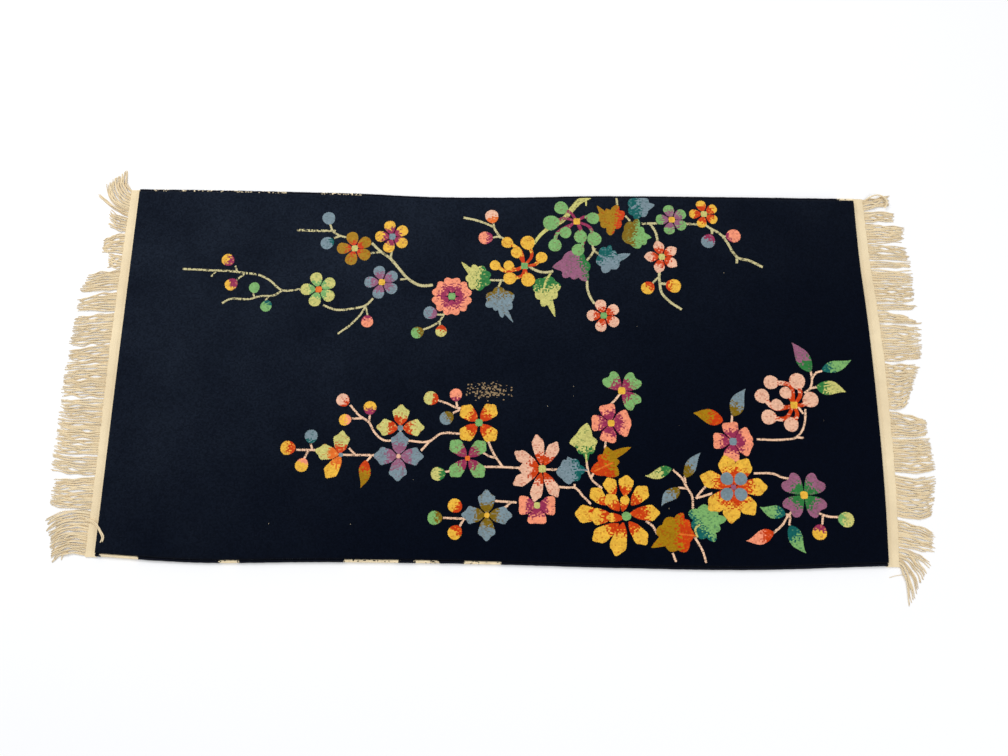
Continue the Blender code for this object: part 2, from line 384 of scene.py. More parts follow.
def smooth_route(places: Sequence[Place], step: float) -> Array:
    """A curve through the places, as a cubic whose slope at each is the mean slope
    of its neighbours, laid out at even steps.

    Args:
        places: Points of the route.
        step: The distance between points of the curve.

    Returns:
        The curve's points, (n, 2).
    """
    knots = np.array(places, float)
    gaps = np.hypot(*np.diff(knots, axis=0).T)
    run = np.concatenate([[0.0], np.cumsum(gaps)])
    count = max(4, int(run[-1] / step) + 1)
    at = np.linspace(0, run[-1], count)
    if len(knots) == 2:
        return knots[0] + (at / run[-1])[:, None] * (knots[1] - knots[0])
    rows = [
        tuple(EdgeRow(float(r), float(value)) for r, value in zip(run, knots[:, axis]))
        for axis in (0, 1)
    ]
    return np.stack([smooth_read(row, at) for row in rows], axis=1)


def ribbon_outline(route: Array, widths: Array) -> Array:
    """A strip of the given widths round a route.

    Args:
        route: The middle line, (n, 2).
        widths: The full breadth at each point, (n,).

    Returns:
        The outline's points.
    """
    run = np.gradient(route, axis=0)
    run /= np.linalg.norm(run, axis=1)[:, None]
    side = np.stack([-run[:, 1], run[:, 0]], axis=1) * widths[:, None] / 2
    return np.concatenate([route + side, (route - side)[::-1]])


@dataclass(frozen=True)
class Twig:
    """A knotted twig along a route. It may taper, and navy knots may show in it."""

    route: Sequence[Place]
    dye: Dye
    width: float = 3.2
    end_width: float | None = None
    broken: float = 0.0

    def patches(self) -> list[Patch]:
        """The twig's one patch."""
        line = smooth_route(self.route, 1.5)
        last = self.width if self.end_width is None else self.end_width
        share = np.linspace(0, 1, len(line))
        teeth = 1 + 0.16 * np.sin(np.arange(len(line)) * 2.4)
        widths = (self.width * (1 - share) + last * share) * teeth
        start = tuple(line[0])
        end = (line[0][0] + 1000.0, line[0][1])
        reach = (self.broken - 0.5) * 10.0
        return [
            Patch(
                ribbon_outline(line, widths), self.dye, Dye.NAVY, start, end, reach, 10.0
            )
        ]


@dataclass(frozen=True)
class Bud:
    """A round bud on its stalk: the tip's dye, and another on the stalk's side."""

    middle: Place
    stalk: float
    tip_dye: Dye
    base_dye: Dye
    radius: float = 10.5
    reach: float = 0.42

    def patches(self) -> list[Patch]:
        """The bud's one patch, set on the line of its stalk."""
        angle = math.radians(self.stalk)
        arm = np.array([math.cos(angle), math.sin(angle)]) * self.radius
        middle = np.array(self.middle, float)
        base = tuple(middle + arm * 1.08)
        tip = tuple(middle - arm)
        outline = petal_outline(base, tip, self.radius * 1.95, PetalCut.EGG)
        return [Patch(outline, self.tip_dye, self.base_dye, base, tip, self.reach)]


@dataclass(frozen=True)
class Petal:
    """One petal on its own, by its base and tip."""

    base: Place
    tip: Place
    width: float
    tip_dye: Dye
    base_dye: Dye
    cut: PetalCut = PetalCut.SCALLOPED
    reach: float = 0.45

    def patches(self) -> list[Patch]:
        """The petal's one patch."""
        outline = petal_outline(self.base, self.tip, self.width, self.cut)
        return [
            Patch(outline, self.tip_dye, self.base_dye, self.base, self.tip, self.reach)
        ]


FIVE = (180.0, 105.0, 33.0, -33.0, -105.0)


@dataclass(frozen=True)
class Blossom:
    """A flower of petals round a square heart."""

    middle: Place
    radius: float
    tip_dye: Dye
    base_dye: Dye
    heart_dye: Dye
    turns: Sequence[float] = FIVE
    width: float = 0.66
    cut: PetalCut = PetalCut.ROUND
    reach: float = 0.42
    inner: float = 5.0
    heart: float = 11.0
    lengths: Sequence[float] = ()

    def patches(self) -> list[Patch]:
        """The petals, then the heart over them."""
        middle = np.array(self.middle, float)
        found = []
        for k, turn in enumerate(self.turns):
            length = self.lengths[k] if self.lengths else self.radius
            angle = math.radians(turn)
            arm = np.array([math.cos(angle), math.sin(angle)])
            base = tuple(middle + arm * self.inner)
            tip = tuple(middle + arm * length)
            width = self.width * self.radius
            found += Petal(
                base, tip, width, self.tip_dye, self.base_dye, self.cut, self.reach
            ).patches()
        half = self.heart / 2
        corner = 0.86 * half
        ring = np.array(
            [(half, 0), (corner, corner), (0, half), (-corner, corner)]
            + [(-half, 0), (-corner, -corner), (0, -half), (corner, -corner)]
        )
        found.append(
            Patch(
                ring + middle, self.heart_dye, self.heart_dye, self.middle, (0.0, 0.0)
            )
        )
        return found


class Spoon(NamedTuple):
    """A spoon petal: the middle and radius of its bowl, and where its arm bends."""

    bowl: Place
    radius: float
    bend: Place


@dataclass(frozen=True)
class SpoonFlower:
    """A flower of spoon petals, whose bowls stand on thin arms round a heart."""

    middle: Place
    spoons: Sequence[Spoon]
    bowl_dye: Dye
    arm_dye: Dye
    heart_dye: Dye
    arm_width: float = 6.0
    heart: float = 11.0

    def patches(self) -> list[Patch]:
        """Arms first, then the bowls, then the heart."""
        arms = []
        bowls = []
        for spoon in self.spoons:
            line = smooth_route((self.middle, spoon.bend, spoon.bowl), 1.5)
            share = np.linspace(0, 1, len(line))
            widths = self.arm_width * (0.62 + 0.5 * share)
            base = self.middle
            tip = spoon.bowl
            arms.append(
                Patch(
                    ribbon_outline(line, widths),
                    self.bowl_dye,
                    self.arm_dye,
                    base,
                    tip,
                    0.66,
                    0.35,
                )
            )
            bowl = np.array(spoon.bowl, float)
            away = bowl - np.array(spoon.bend, float)
            away /= np.hypot(*away)
            start = tuple(bowl - away * spoon.radius)
            end = tuple(bowl + away * spoon.radius)
            outline = petal_outline(start, end, spoon.radius * 1.9, PetalCut.EGG)
            bowls.append(Patch(outline, self.bowl_dye, self.arm_dye, start, end, 0.0, 0.25))
        half = self.heart / 2
        square = np.array([(half, -half), (half, half), (-half, half), (-half, -half)])
        heart = Patch(
            square + np.array(self.middle), self.heart_dye, self.heart_dye, self.middle,
            (0.0, 0.0),
        )
        return arms + bowls + [heart]


@dataclass(frozen=True)
class Leaf:
    """A plain pointed leaf, by its base and tip."""

    base: Place
    tip: Place
    width: float
    tip_dye: Dye
    base_dye: Dye
    hook: float = 0.0
    reach: float = 0.42

    def patches(self) -> list[Patch]:
        """The leaf's one patch."""
        outline = leaf_outline(self.base, self.tip, self.width, self.hook)
        return [
            Patch(outline, self.tip_dye, self.base_dye, self.base, self.tip, self.reach)
        ]


@dataclass(frozen=True)
class LobedLeaf:
    """A leaf with several tips round a hub. base and far say where its two dyes lie."""

    hub: Place
    tips: Sequence[LeafTip]
    tip_dye: Dye
    base_dye: Dye
    base: Place
    far: Place
    reach: float = 0.4
    valley: float = 0.82

    def patches(self) -> list[Patch]:
        """The leaf's one patch."""
        outline = lobed_outline(self.hub, self.tips, self.valley)
        return [
            Patch(
                outline, self.tip_dye, self.base_dye, self.base, self.far, self.reach, 0.25
            )
        ]


Motif = Twig | Bud | Petal | Blossom | SpoonFlower | Leaf | LobedLeaf


class FarSpray:
    """The spray along the far side, charted in whole millimetres."""

    @staticmethod
    def twigs() -> list[Motif]:
        """Twigs and branches, drawn first."""
        pale = Dye.FAR_TWIG
        return [
            Twig(((-522, 162), (-471, 160), (-439, 159), (-416, 156), (-397, 154), (-377, 145),
                (-354, 127), (-322, 129)), pale, 3.4, broken=0.22),
            Twig(((-473, 149), (-466, 159)), pale, 2.8, broken=0.3),
            Twig(((-435, 169), (-431, 159)), pale, 3, broken=0.2),
            Twig(((-432, 143), (-418, 155)), pale, 3, broken=0.2),
            Twig(((-451, 103), (-442, 109), (-406, 111), (-388, 116), (-366, 118), (-354, 126)),
                pale, 3.2, broken=0.22),
            Twig(((-402, 124), (-398, 112)), pale, 2.8, broken=0.15),
            Twig(((-380, 108), (-374, 117)), pale, 2.8, broken=0.15),
            Twig(((-284, 102), (-266, 95), (-234, 97), (-213, 103), (-202, 115)), pale, 3.4,
                broken=0.15),
            Twig(((-213, 103), (-219, 91), (-233, 73), (-257, 53)), pale, 3.2, broken=0.2),
            Twig(((-210, 85), (-213, 99)), pale, 2.8),
            Twig(((-159, 148), (-146, 150)), pale, 3.2),
            Twig(((-336, 234), (-304, 233), (-271, 233)), pale, 4, broken=0.34),
            Twig(((-281, 245), (-276, 233), (-262, 224), (-246, 221)), pale, 3.4, broken=0.1),
            Twig(((-273, 220), (-262, 224)), pale, 3),
            Twig(((-209, 212), (-192, 196), (-178, 186), (-162, 168), (-146, 150), (-124, 138),
                (-104, 139)), pale, 4.2, 4.6, broken=0.05),
            Twig(((-212, 194), (-192, 196)), pale, 3.2, broken=0.2),
            Twig(((-175, 200), (-176, 186)), pale, 3.6),
            Twig(((-82, 92), (-92, 76), (-106, 67), (-118, 62)), pale, 3.2, broken=0.1),
            Twig(((-100, 88), (-84, 88)), pale, 3),
            Twig(((-90, 68), (-91, 78)), pale, 3),
            Twig(((-56, 260), (-36, 256), (-16, 249), (-6, 244), (2, 232), (8, 224)), pale, 3.8,
                broken=0.08),
            Twig(((-5, 250), (-3, 240)), pale, 3),
            Twig(((-9, 224), (6, 226), (14, 222)), pale, 3.2),
            Twig(((158, 303), (140, 292), (128, 278), (110, 256), (88, 243), (74, 230), (63, 214)),
                Dye.OLIVE, 11, 4.6),
            Twig(((152, 300), (152, 284)), Dye.OLIVE, 4, 2),
            Twig(((204, 300), (205, 286)), pale, 3.4, broken=0.1),
            Twig(((55, 174), (68, 167), (80, 164), (96, 166)), pale, 4.2),
            Twig(((-24, 149), (4, 149), (20, 149)), pale, 3.4),
            Twig(((9, 148), (4, 135)), pale, 3.4),
            Twig(((166, 208), (160, 196), (152, 186)), pale, 3.6),
            Twig(((163, 222), (164, 204), (176, 196)), pale, 3.6),
            Twig(((152, 152), (153, 134), (158, 120), (164, 110)), pale, 4),
            Twig(((218, 267), (226, 258)), pale, 3.4),
            Twig(((246, 253), (272, 254)), pale, 4, broken=0.15),
            Twig(((318, 254), (343, 253)), pale, 4, broken=0.22),
            Twig(((354, 252), (362, 246), (378, 236), (389, 221), (398, 203), (404, 195), (424,
                189), (446, 178)), pale, 4, 4.4, broken=0.1),
            Twig(((364, 236), (364, 246)), pale, 4),
            Twig(((388, 232), (380, 232)), pale, 3),
            Twig(((403, 184), (404, 196)), pale, 4),
            Twig(((260, 252), (268, 240), (272, 222)), pale, 4, broken=0.06),
            Twig(((273, 172), (273, 146), (276, 130), (286, 118), (308, 102)), pale, 4.4, 4),
            Twig(((260, 146), (271, 158)), pale, 3.2),
            Twig(((286, 146), (273, 147)), pale, 4.2),
        ]

    @staticmethod
    def leaves() -> list[Motif]:
        """Leaves, and the veins over them."""
        tip = LeafTip
        return [
            LobedLeaf((-30, 152), (tip(-58, 181, 1), tip(-38, 176), tip(-21, 174), tip(-8, 160),
                tip(-8, 145), tip(-27, 130), tip(-41, 133), tip(-50, 152)), Dye.OLIVE,
                Dye.DARK_GREEN, (-10, 152), (-58, 158), 0.34),
            LobedLeaf((6, 112), (tip(4, 138), tip(-15, 124), tip(-16, 104), tip(0, 96), tip(31,
                124), tip(28, 100), tip(12, 84), tip(30, 76, 1)), Dye.GREY_BLUE, Dye.BROWN_OCHRE,
                (8, 144), (20, 84), 0.36),
            LobedLeaf((84, 132), (tip(92, 157), tip(66, 150), tip(62, 140), tip(68, 118), tip(78,
                104), tip(108, 142), tip(102, 120), tip(99, 86, 1)), Dye.OLIVE, Dye.DARK_GREEN,
                (82, 160), (95, 96), 0.38, 0.86),
            LobedLeaf((132, 172), (tip(94, 173, 1), tip(125, 203), tip(144, 200), tip(158, 178),
                tip(153, 150), tip(130, 152), tip(112, 156)), Dye.MAUVE, Dye.DARK_GREEN, (164,
                188), (106, 164), 0.37, 0.84),
            LobedLeaf((192, 260), (tip(170, 286, 0.8), tip(186, 280, 0.6), tip(206, 287), tip(217,
                274), tip(210, 246), tip(192, 231), tip(178, 246), tip(168, 266)), Dye.OCHRE,
                Dye.ORANGE_RED, (216, 256), (172, 264), 0.3),
            LobedLeaf((243, 281), (tip(225, 296), tip(224, 272), tip(236, 260), tip(252, 266),
                tip(269, 288, 1), tip(256, 300)), Dye.GREY_BLUE, Dye.TEAL, (224, 277), (268, 286),
                0.42, 0.84),
            LobedLeaf((236, 234), (tip(239, 262), tip(222, 256), tip(213, 224), tip(240, 208),
                tip(252, 216), tip(262, 228, 1), tip(248, 246)), Dye.GREEN, Dye.BROWN_OCHRE, (212,
                238), (262, 226), 0.42, 0.84),
            LobedLeaf((190, 189), (tip(178, 210), tip(192, 214), tip(226, 199, 1), tip(203, 172),
                tip(180, 164), tip(168, 182), tip(200, 204)), Dye.GREY_BLUE, Dye.TEAL, (176, 212),
                (204, 166), 0.44, 0.82),
            Twig(((92, 163), (84, 150), (80, 134)), Dye.OLIVE, 3.6, 3),
            Twig(((5, 136), (5, 118)), Dye.GREY_BLUE, 3),
            Twig(((228, 280), (238, 287)), Dye.GREY_BLUE, 3.4),
            Twig(((172, 196), (186, 189), (194, 184)), Dye.GREY_BLUE, 3.2),
            Twig(((214, 262), (204, 254)), Dye.ORANGE_RED, 3),
        ]

    @staticmethod
    def flowers() -> list[Motif]:
        """Buds, then blossoms, drawn last."""
        spoon = Spoon
        return [
            Bud((-448, 179), -35, Dye.YELLOW, Dye.CRIMSON, 10.5, 0.5),
            Bud((-439, 136), 40, Dye.YELLOW, Dye.CRIMSON, 10.5, 0.52),
            Bud((-400, 131), -75, Dye.GREEN, Dye.GREEN, 9),
            Bud((-378, 99), 60, Dye.GREEN, Dye.TEAL, 9.5, 0.3),
            Bud((-210, 75), 90, Dye.CORAL, Dye.CRIMSON, 10, 0.36),
            Bud((-284, 256), -65, Dye.GREY_BLUE, Dye.GREY_BLUE, 11),
            Bud((-284, 211), 25, Dye.GREY_BLUE, Dye.TEAL, 11, 0.26),
            Bud((-107, 91), -15, Dye.GREY_BLUE, Dye.MAUVE, 11, 0.42),
            Bud((-127, 57), 20, Dye.GREEN, Dye.BROWN_OCHRE, 10, 0.42),
            Bud((-88, 60), 92, Dye.OLIVE, Dye.ORANGE_RED, 9.5, 0.42),
            Bud((-8, 263), -75, Dye.PALE_PEACH, Dye.ORANGE, 11.5, 0.42),
            Bud((-18, 224), 5, Dye.CORAL, Dye.CRIMSON, 11.5, 0.4),
            Bud((357, 223), 65, Dye.GREY_BLUE, Dye.CRIMSON, 12, 0.4),
            Bud((400, 233), 185, Dye.CORAL, Dye.CRIMSON, 12, 0.26),
            Bud((253, 139), 40, Dye.YELLOW, Dye.ORANGE_RED, 11, 0.46),
            Bud((296, 143), 170, Dye.YELLOW, Dye.ORANGE_RED, 12, 0.3),
            Blossom((-293, 129), 30, Dye.OLIVE, Dye.GREEN, Dye.ORANGE),
            Blossom((-189, 143), 29, Dye.GREY_BLUE, Dye.MAUVE, Dye.YELLOW, reach=0.5),
            Blossom((-237, 202), 30, Dye.OCHRE, Dye.ORANGE_RED, Dye.OLIVE, reach=0.3),
            Blossom((-175, 224), 29, Dye.YELLOW, Dye.CRIMSON, Dye.GREY_BLUE, reach=0.4),
            Blossom((-72, 120), 35, Dye.CORAL, Dye.CRIMSON, Dye.GREEN, (90, 30, -30, -90, -150,
                150), 0.78, PetalCut.HEART, 0.46, 6, 12),
            SpoonFlower((48, 175), (spoon((19, 216), 10, (40, 203)), spoon((53, 216), 12.5, (60,
                194)), spoon((35, 198), 10, (43, 187)), spoon((76, 190), 10, (66, 178)), spoon((-1,
                175), 9, (18, 165)), spoon((22, 175), 9, (34, 168)), spoon((24, 153), 11, (44,
                158)), spoon((54, 151), 12, (50, 166))), Dye.YELLOW, Dye.ORANGE_RED, Dye.GREEN),
            SpoonFlower((136, 256), (spoon((110, 280), 12, (127, 270)), spoon((93, 253), 14, (116,
                261)), spoon((163, 262), 11, (149, 264)), spoon((117, 236), 10.5, (125, 248)),
                spoon((142, 229), 11.5, (142, 244)), spoon((165, 225), 12.5, (158, 245)),
                spoon((99, 213), 11.5, (101, 230)), spoon((138, 205), 11, (146, 216))), Dye.GREEN,
                Dye.CRIMSON, Dye.YELLOW),
            Blossom((297, 261), 27, Dye.GREEN, Dye.MAUVE, Dye.YELLOW, width=0.68, reach=0.5),
            Blossom((352, 272), 25, Dye.YELLOW, Dye.ORANGE_RED, Dye.OLIVE, reach=0.56),
            Blossom((278, 194), 27, Dye.PALE_PEACH, Dye.ORANGE_RED, Dye.OLIVE,
                cut=PetalCut.POINTED, reach=0.5),
            Blossom((179, 90), 28, Dye.PALE_PEACH, Dye.ORANGE_RED, Dye.GREEN, reach=0.42),
        ]


class NearSpray:
    """The spray along the near side, charted in whole millimetres."""

    @staticmethod
    def twigs() -> list[Motif]:
        """Twigs, drawn first."""
        pale = Dye.NEAR_TWIG
        rows = (
            ((-230, -65), (-214, -82), (-198, -93), (-190, -107), (-173, -121), (-157, -121)),
            ((-226, -87), (-208, -86)),
            ((-198, -80), (-198, -93)),
            ((-311, -138), (-278, -138)),
            ((-289, -128), (-286, -137)),
            ((-298, -152), (-292, -139)),
            ((-243, -145), (-184, -145)),
            ((-228, -134), (-218, -144)),
            ((-199, -155), (-192, -146)),
            ((-138, -121), (-100, -121), (-85, -110), (-51, -109)),
            ((-114, -137), (-100, -121)),
            ((-148, -104), (-148, -118)),
            ((-90, -55), (-75, -60), (-59, -67), (-48, -68)),
            ((-60, -57), (-58, -67)),
            ((-65, -76), (-54, -70)),
            ((-8, -120), (-2, -134), (5, -146), (16, -161)),
            ((-18, -137), (-6, -144), (5, -147)),
            ((-17, -161), (12, -161), (42, -162)),
            ((-76, -170), (-64, -168)),
            ((4, -214), (20, -215), (38, -216)),
            ((28, -217), (18, -226)),
            ((-76, -241), (-41, -242)),
            ((-44, -243), (-50, -254)),
            ((-46, -234), (-41, -241)),
            ((84, -164), (106, -164)),
            ((203, -41), (196, -50), (188, -58)),
            ((179, -118), (177, -130)),
            ((143, -164), (150, -165)),
            ((148, -150), (150, -164), (155, -177), (172, -193)),
            ((155, -176), (160, -166)),
            ((104, -191), (118, -192), (129, -192), (142, -205), (154, -217)),
            ((129, -186), (128, -192)),
            ((239, -242), (250, -250), (256, -262)),
            ((279, -290), (284, -303)),
            ((313, -264), (320, -276), (326, -288), (330, -304)),
            ((284, -162), (298, -176), (304, -188), (312, -202), (313, -222)),
            ((302, -172), (303, -186)),
            ((291, -190), (305, -191)),
            ((340, -182), (328, -194), (318, -206)),
            ((344, -198), (332, -202), (318, -206)),
            ((382, -74), (380, -88)),
            ((419, -112), (460, -112), (482, -108), (493, -96), (498, -80), (500, -62)),
            ((482, -108), (494, -109)),
            ((488, -58), (496, -70)),
            ((411, -166), (444, -167), (456, -172), (472, -174)),
            ((500, -36), (510, -28), (514, -12), (513, 0)),
            ((514, -12), (522, -2), (532, 1)),
            ((510, -28), (521, -26)),
            ((468, -224), (460, -232), (452, -244), (436, -258)),
            ((457, -229), (462, -230), (462, -246)),
            ((506, -225), (515, -229), (526, -232), (541, -232)),
            ((515, -229), (513, -244)),
        )
        return [Twig(row, pale, 3.3, broken=0.06) for row in rows]

    @staticmethod
    def leaves() -> list[Motif]:
        """Leaves, and the veins over them."""
        tip = LeafTip
        return [
            Leaf((-200, -153), (-207, -197), 20, Dye.OCHRE, Dye.ORANGE_RED, 0.12, 0.36),
            LobedLeaf((122, -164), (tip(100, -168, 0.6), tip(112, -148, 0.6), tip(118, -143, 0.8),
                tip(134, -148), tip(146, -164), tip(136, -180), tip(120, -187, 0.6)),
                Dye.GREY_BLUE, Dye.TEAL, (148, -164), (100, -164), 0.4, 0.86),
            LobedLeaf((147, -124), (tip(150, -89, 0.8), tip(121, -122, 1), tip(166, -118, 1),
                tip(149, -151, 0.7), tip(136, -138), tip(158, -138)), Dye.OLIVE, Dye.DARK_GREEN,
                (149, -154), (150, -92), 0.38, 0.86),
            LobedLeaf((180, -150), (tip(154, -166, 0.6), tip(179, -126, 1), tip(219, -127, 1),
                tip(200, -150), tip(198, -172, 0.4), tip(166, -142)), Dye.OCHRE, Dye.ORANGE_RED,
                (156, -162), (214, -132), 0.42, 0.8),
            LobedLeaf((284, -260), (tip(297, -229), tip(272, -236), tip(254, -258), tip(246, -282,
                0.9), tip(276, -288), tip(300, -288), tip(314, -262, 0.7), tip(306, -240)),
                Dye.OCHRE, Dye.ORANGE_RED, (316, -262), (252, -262), 0.4, 0.86),
            LobedLeaf((332, -244), (tip(306, -227), tip(331, -215), tip(349, -222), tip(365, -237,
                0.4), tip(354, -254), tip(345, -272), tip(322, -268), tip(309, -248)), Dye.GREEN,
                Dye.TEAL, (308, -262), (356, -222), 0.36, 0.84),
            Leaf((282, -160), (239, -172), 18, Dye.OLIVE, Dye.DARK_GREEN, 0.14),
            Leaf((302, -174), (329, -134), 19, Dye.GREY_BLUE, Dye.BROWN_OCHRE, 0.1),
            Leaf((293, -190), (264, -219), 20, Dye.GREY_BLUE, Dye.BROWN_OCHRE, -0.12, 0.34),
            Leaf((367, -83), (319, -71), 26, Dye.OCHRE, Dye.ORANGE_RED, -0.06),
            Leaf((383, -75), (406, -30), 25, Dye.GREY_BLUE, Dye.BROWN_OCHRE, 0.1, 0.36),
            Leaf((513, -1), (485, 49), 26, Dye.MAUVE, Dye.DARK_GREEN, -0.06, 0.38),
            Leaf((531, 2), (581, 20), 20, Dye.GREEN, Dye.TEAL, -0.08, 0.3),
            Leaf((520, -25), (568, -34), 25, Dye.OLIVE, Dye.DARK_GREEN, 0.1, 0.36),
            Leaf((457, -229), (417, -218), 22, Dye.GREEN, Dye.TEAL, 0.08, 0.34),
            Leaf((437, -257), (393, -270), 22, Dye.CORAL, Dye.ORANGE_RED, 0.1, 0.4),
            Leaf((462, -246), (485, -288), 24, Dye.GREEN, Dye.TEAL, -0.1, 0.42),
            Twig(((150, -164), (132, -164)), Dye.GREY_BLUE, 2.6),
            Twig(((148, -152), (147, -138)), Dye.OLIVE, 2.8),
            Twig(((160, -166), (176, -158), (190, -152)), Dye.ORANGE, 2.4),
            Twig(((316, -264), (302, -262), (290, -261)), Dye.ORANGE, 2.6),
            Twig(((318, -266), (316, -252), (323, -246)), Dye.OLIVE, 3.2),
        ]

    @staticmethod
    def flowers() -> list[Motif]:
        """Buds, then blossoms, drawn last."""
        olive, yellow, red = Dye.OLIVE, Dye.YELLOW, Dye.ORANGE_RED
        holly = PetalCut.HOLLY
        spoon = Spoon
        peony = [
            Petal((191, -204), (181, -177), 21, yellow, red, reach=0.36),
            Petal((207, -204), (211, -173), 23, yellow, red, reach=0.42),
            Petal((217, -218), (241, -190), 23, yellow, red, reach=0.46),
            Petal((178, -218), (156, -194), 22, yellow, red, reach=0.36),
            Petal((215, -231), (259, -229), 24, yellow, red, reach=0.6),
            Petal((213, -243), (238, -276), 23, yellow, red, reach=0.42),
            Petal((204, -245), (192, -293), 25, yellow, red, reach=0.36),
            Petal((197, -247), (158, -271), 24, yellow, red, reach=0.4),
            Petal((170, -233), (131, -232), 27, yellow, red, reach=0.4),
            Petal((203, -228), (209, -203), 14, yellow, red, reach=0.5),
            Petal((198, -227), (180, -203), 21, yellow, red, reach=0.5),
            Petal((187, -236), (154, -236), 25, yellow, red, reach=0.5),
            Petal((205, -238), (179, -237), 14, yellow, red, reach=0.66),
        ]
        return [
            Bud((-242, -57), -45, Dye.PALE_PEACH, red, 10.5, 0.34),
            Bud((-198, -69), -90, yellow, Dye.CRIMSON, 10.5, 0.44),
            Bud((-237, -89), 10, yellow, Dye.CORAL, 9.5, 0.42),
            Bud((-289, -116), -82, Dye.GREY_BLUE, Dye.TEAL, 10.5, 0.26),
            Bud((-325, -135), 0, yellow, red, 11.5, 0.46),
            Bud((-301, -162), 70, yellow, Dye.CORAL, 10.5, 0.36),
            Bud((-101, -52), -15, olive, red, 11.5, 0.38),
            Bud((-61, -46), -90, Dye.CORAL, Dye.CRIMSON, 10, 0.3),
            Bud((-75, -84), 35, Dye.GREY_BLUE, Dye.BROWN_OCHRE, 11, 0.42),
            Bud((-86, -173), 5, olive, Dye.DARK_GREEN, 11, 0.36),
            Bud((-58, -222), -35, yellow, red, 11, 0.44),
            Bud((-89, -241), 0, Dye.GREEN, Dye.BROWN_OCHRE, 11, 0.42),
            Bud((-57, -263), 50, yellow, red, 11, 0.46),
            Bud((551, -236), 175, olive, Dye.GREEN, 12, 0.4),
            Bud((508, -256), 75, yellow, Dye.CRIMSON, 11.5, 0.42),
            Blossom((-148, -101), 34, olive, red, Dye.GREY_BLUE, (90, 2, 178), 0.76, holly, 0.46,
                4, 9),
            Blossom((-149, -146), 35, Dye.GREY_BLUE, Dye.MAUVE, Dye.PALE_PEACH, (88, 0, -90, 180),
                0.78, holly, 0.5, 3, 7),
            Petal((-242, -143), (-240, -111), 25, olive, red, holly, 0.42),
            Petal((-244, -145), (-277, -139), 24, olive, Dye.ORANGE, holly, 0.44),
            Petal((-240, -147), (-260, -180), 22, yellow, Dye.ORANGE, PetalCut.SCALLOPED, 0.42),
            Bud((-240, -145), 0, Dye.GREY_BLUE, Dye.GREY_BLUE, 3.6),
            Blossom((-23, -91), 37, yellow, red, Dye.GREEN, (138, 48, 223, -46), 0.66,
                PetalCut.SCALLOPED, 0.5, 4, 12),
            Blossom((-40, -148), 37, Dye.GREEN, Dye.CRIMSON, Dye.ORANGE, (134, 44, 228, -48), 0.6,
                PetalCut.SCALLOPED, 0.46, 3, 8),
            Blossom((-8, -236), 35, Dye.GREY_BLUE, Dye.BROWN_OCHRE, yellow, (92, 0, -90, 180),
                0.74, holly, 0.46, 3, 8),
            Blossom((78, -163), 50, Dye.PALE_PEACH, red, olive, (100, 61, -61, -104, -151, 180,
                149), 0.37, PetalCut.SCALLOPED, 0.36, 6, 12, (53, 47, 48, 51, 50, 36, 49)),
            Blossom((70, -220), 31, Dye.CORAL, Dye.CRIMSON, olive, (180, 0, -90), 0.96,
                PetalCut.NOTCHED, 0.46, 3, 10),
            Blossom((188, -89), 34, Dye.CORAL, Dye.CRIMSON, yellow, (180, 104, 22, -20, -102),
                0.76, PetalCut.NOTCHED, 0.5, 4, 11),
            Blossom((206, -36), 37, Dye.GREEN, Dye.CRIMSON, yellow, (133, 42, -47), 0.8,
                PetalCut.HEART, 0.44, 2, 12),
            *peony,
            Bud((209, -235), 0, Dye.GREEN, Dye.GREEN, 7),
            Blossom((381, -116), 34, Dye.CORAL, Dye.CRIMSON, Dye.GREY_BLUE, (178, 98, 25, -24,
                -99), 0.76, PetalCut.NOTCHED, 0.46, 4, 12),
            Blossom((378, -188), 50, yellow, red, Dye.MAUVE, (104, 61, 1, -54, -97, -138, 162),
                0.53, PetalCut.SCALLOPED, 0.52, 4, 8, (49, 49, 51, 50, 54, 52, 52)),
            Bud((368, -175), -45, Dye.GREY_BLUE, Dye.GREY_BLUE, 10),
            Bud((390, -175), 225, Dye.GREY_BLUE, Dye.GREY_BLUE, 10),
            Bud((367, -199), 45, Dye.GREY_BLUE, Dye.GREY_BLUE, 10),
            Bud((389, -199), 135, Dye.GREY_BLUE, Dye.GREY_BLUE, 10),
            SpoonFlower((482, -56), (spoon((448, -19), 12, (478, -24)), spoon((490, -17), 13.5,
                (493, -40)), spoon((432, -42), 12, (452, -62)), spoon((470, -36), 10, (478, -46)),
                spoon((455, -56), 10, (468, -60)), spoon((441, -76), 12.5, (466, -78)), spoon((476,
                -87), 12, (486, -72)), spoon((509, -47), 13, (494, -56))), Dye.PALE_PEACH, red,
                yellow, 7.5),
            Blossom((488, -199), 40, Dye.MAUVE, Dye.DARK_GREEN, yellow, (135, 45, -45, -135), 0.84,
                PetalCut.HEART, 0.44, 3, 12),
        ]


def sprays() -> list[Patch]:
    """Every patch of both sprays, in the order in which they cover each other."""
    motifs: list[Motif] = []
    for spray in (FarSpray, NearSpray):
        motifs += spray.twigs() + spray.leaves() + spray.flowers()
    return [patch for motif in motifs for patch in motif.patches()]


# Meshes


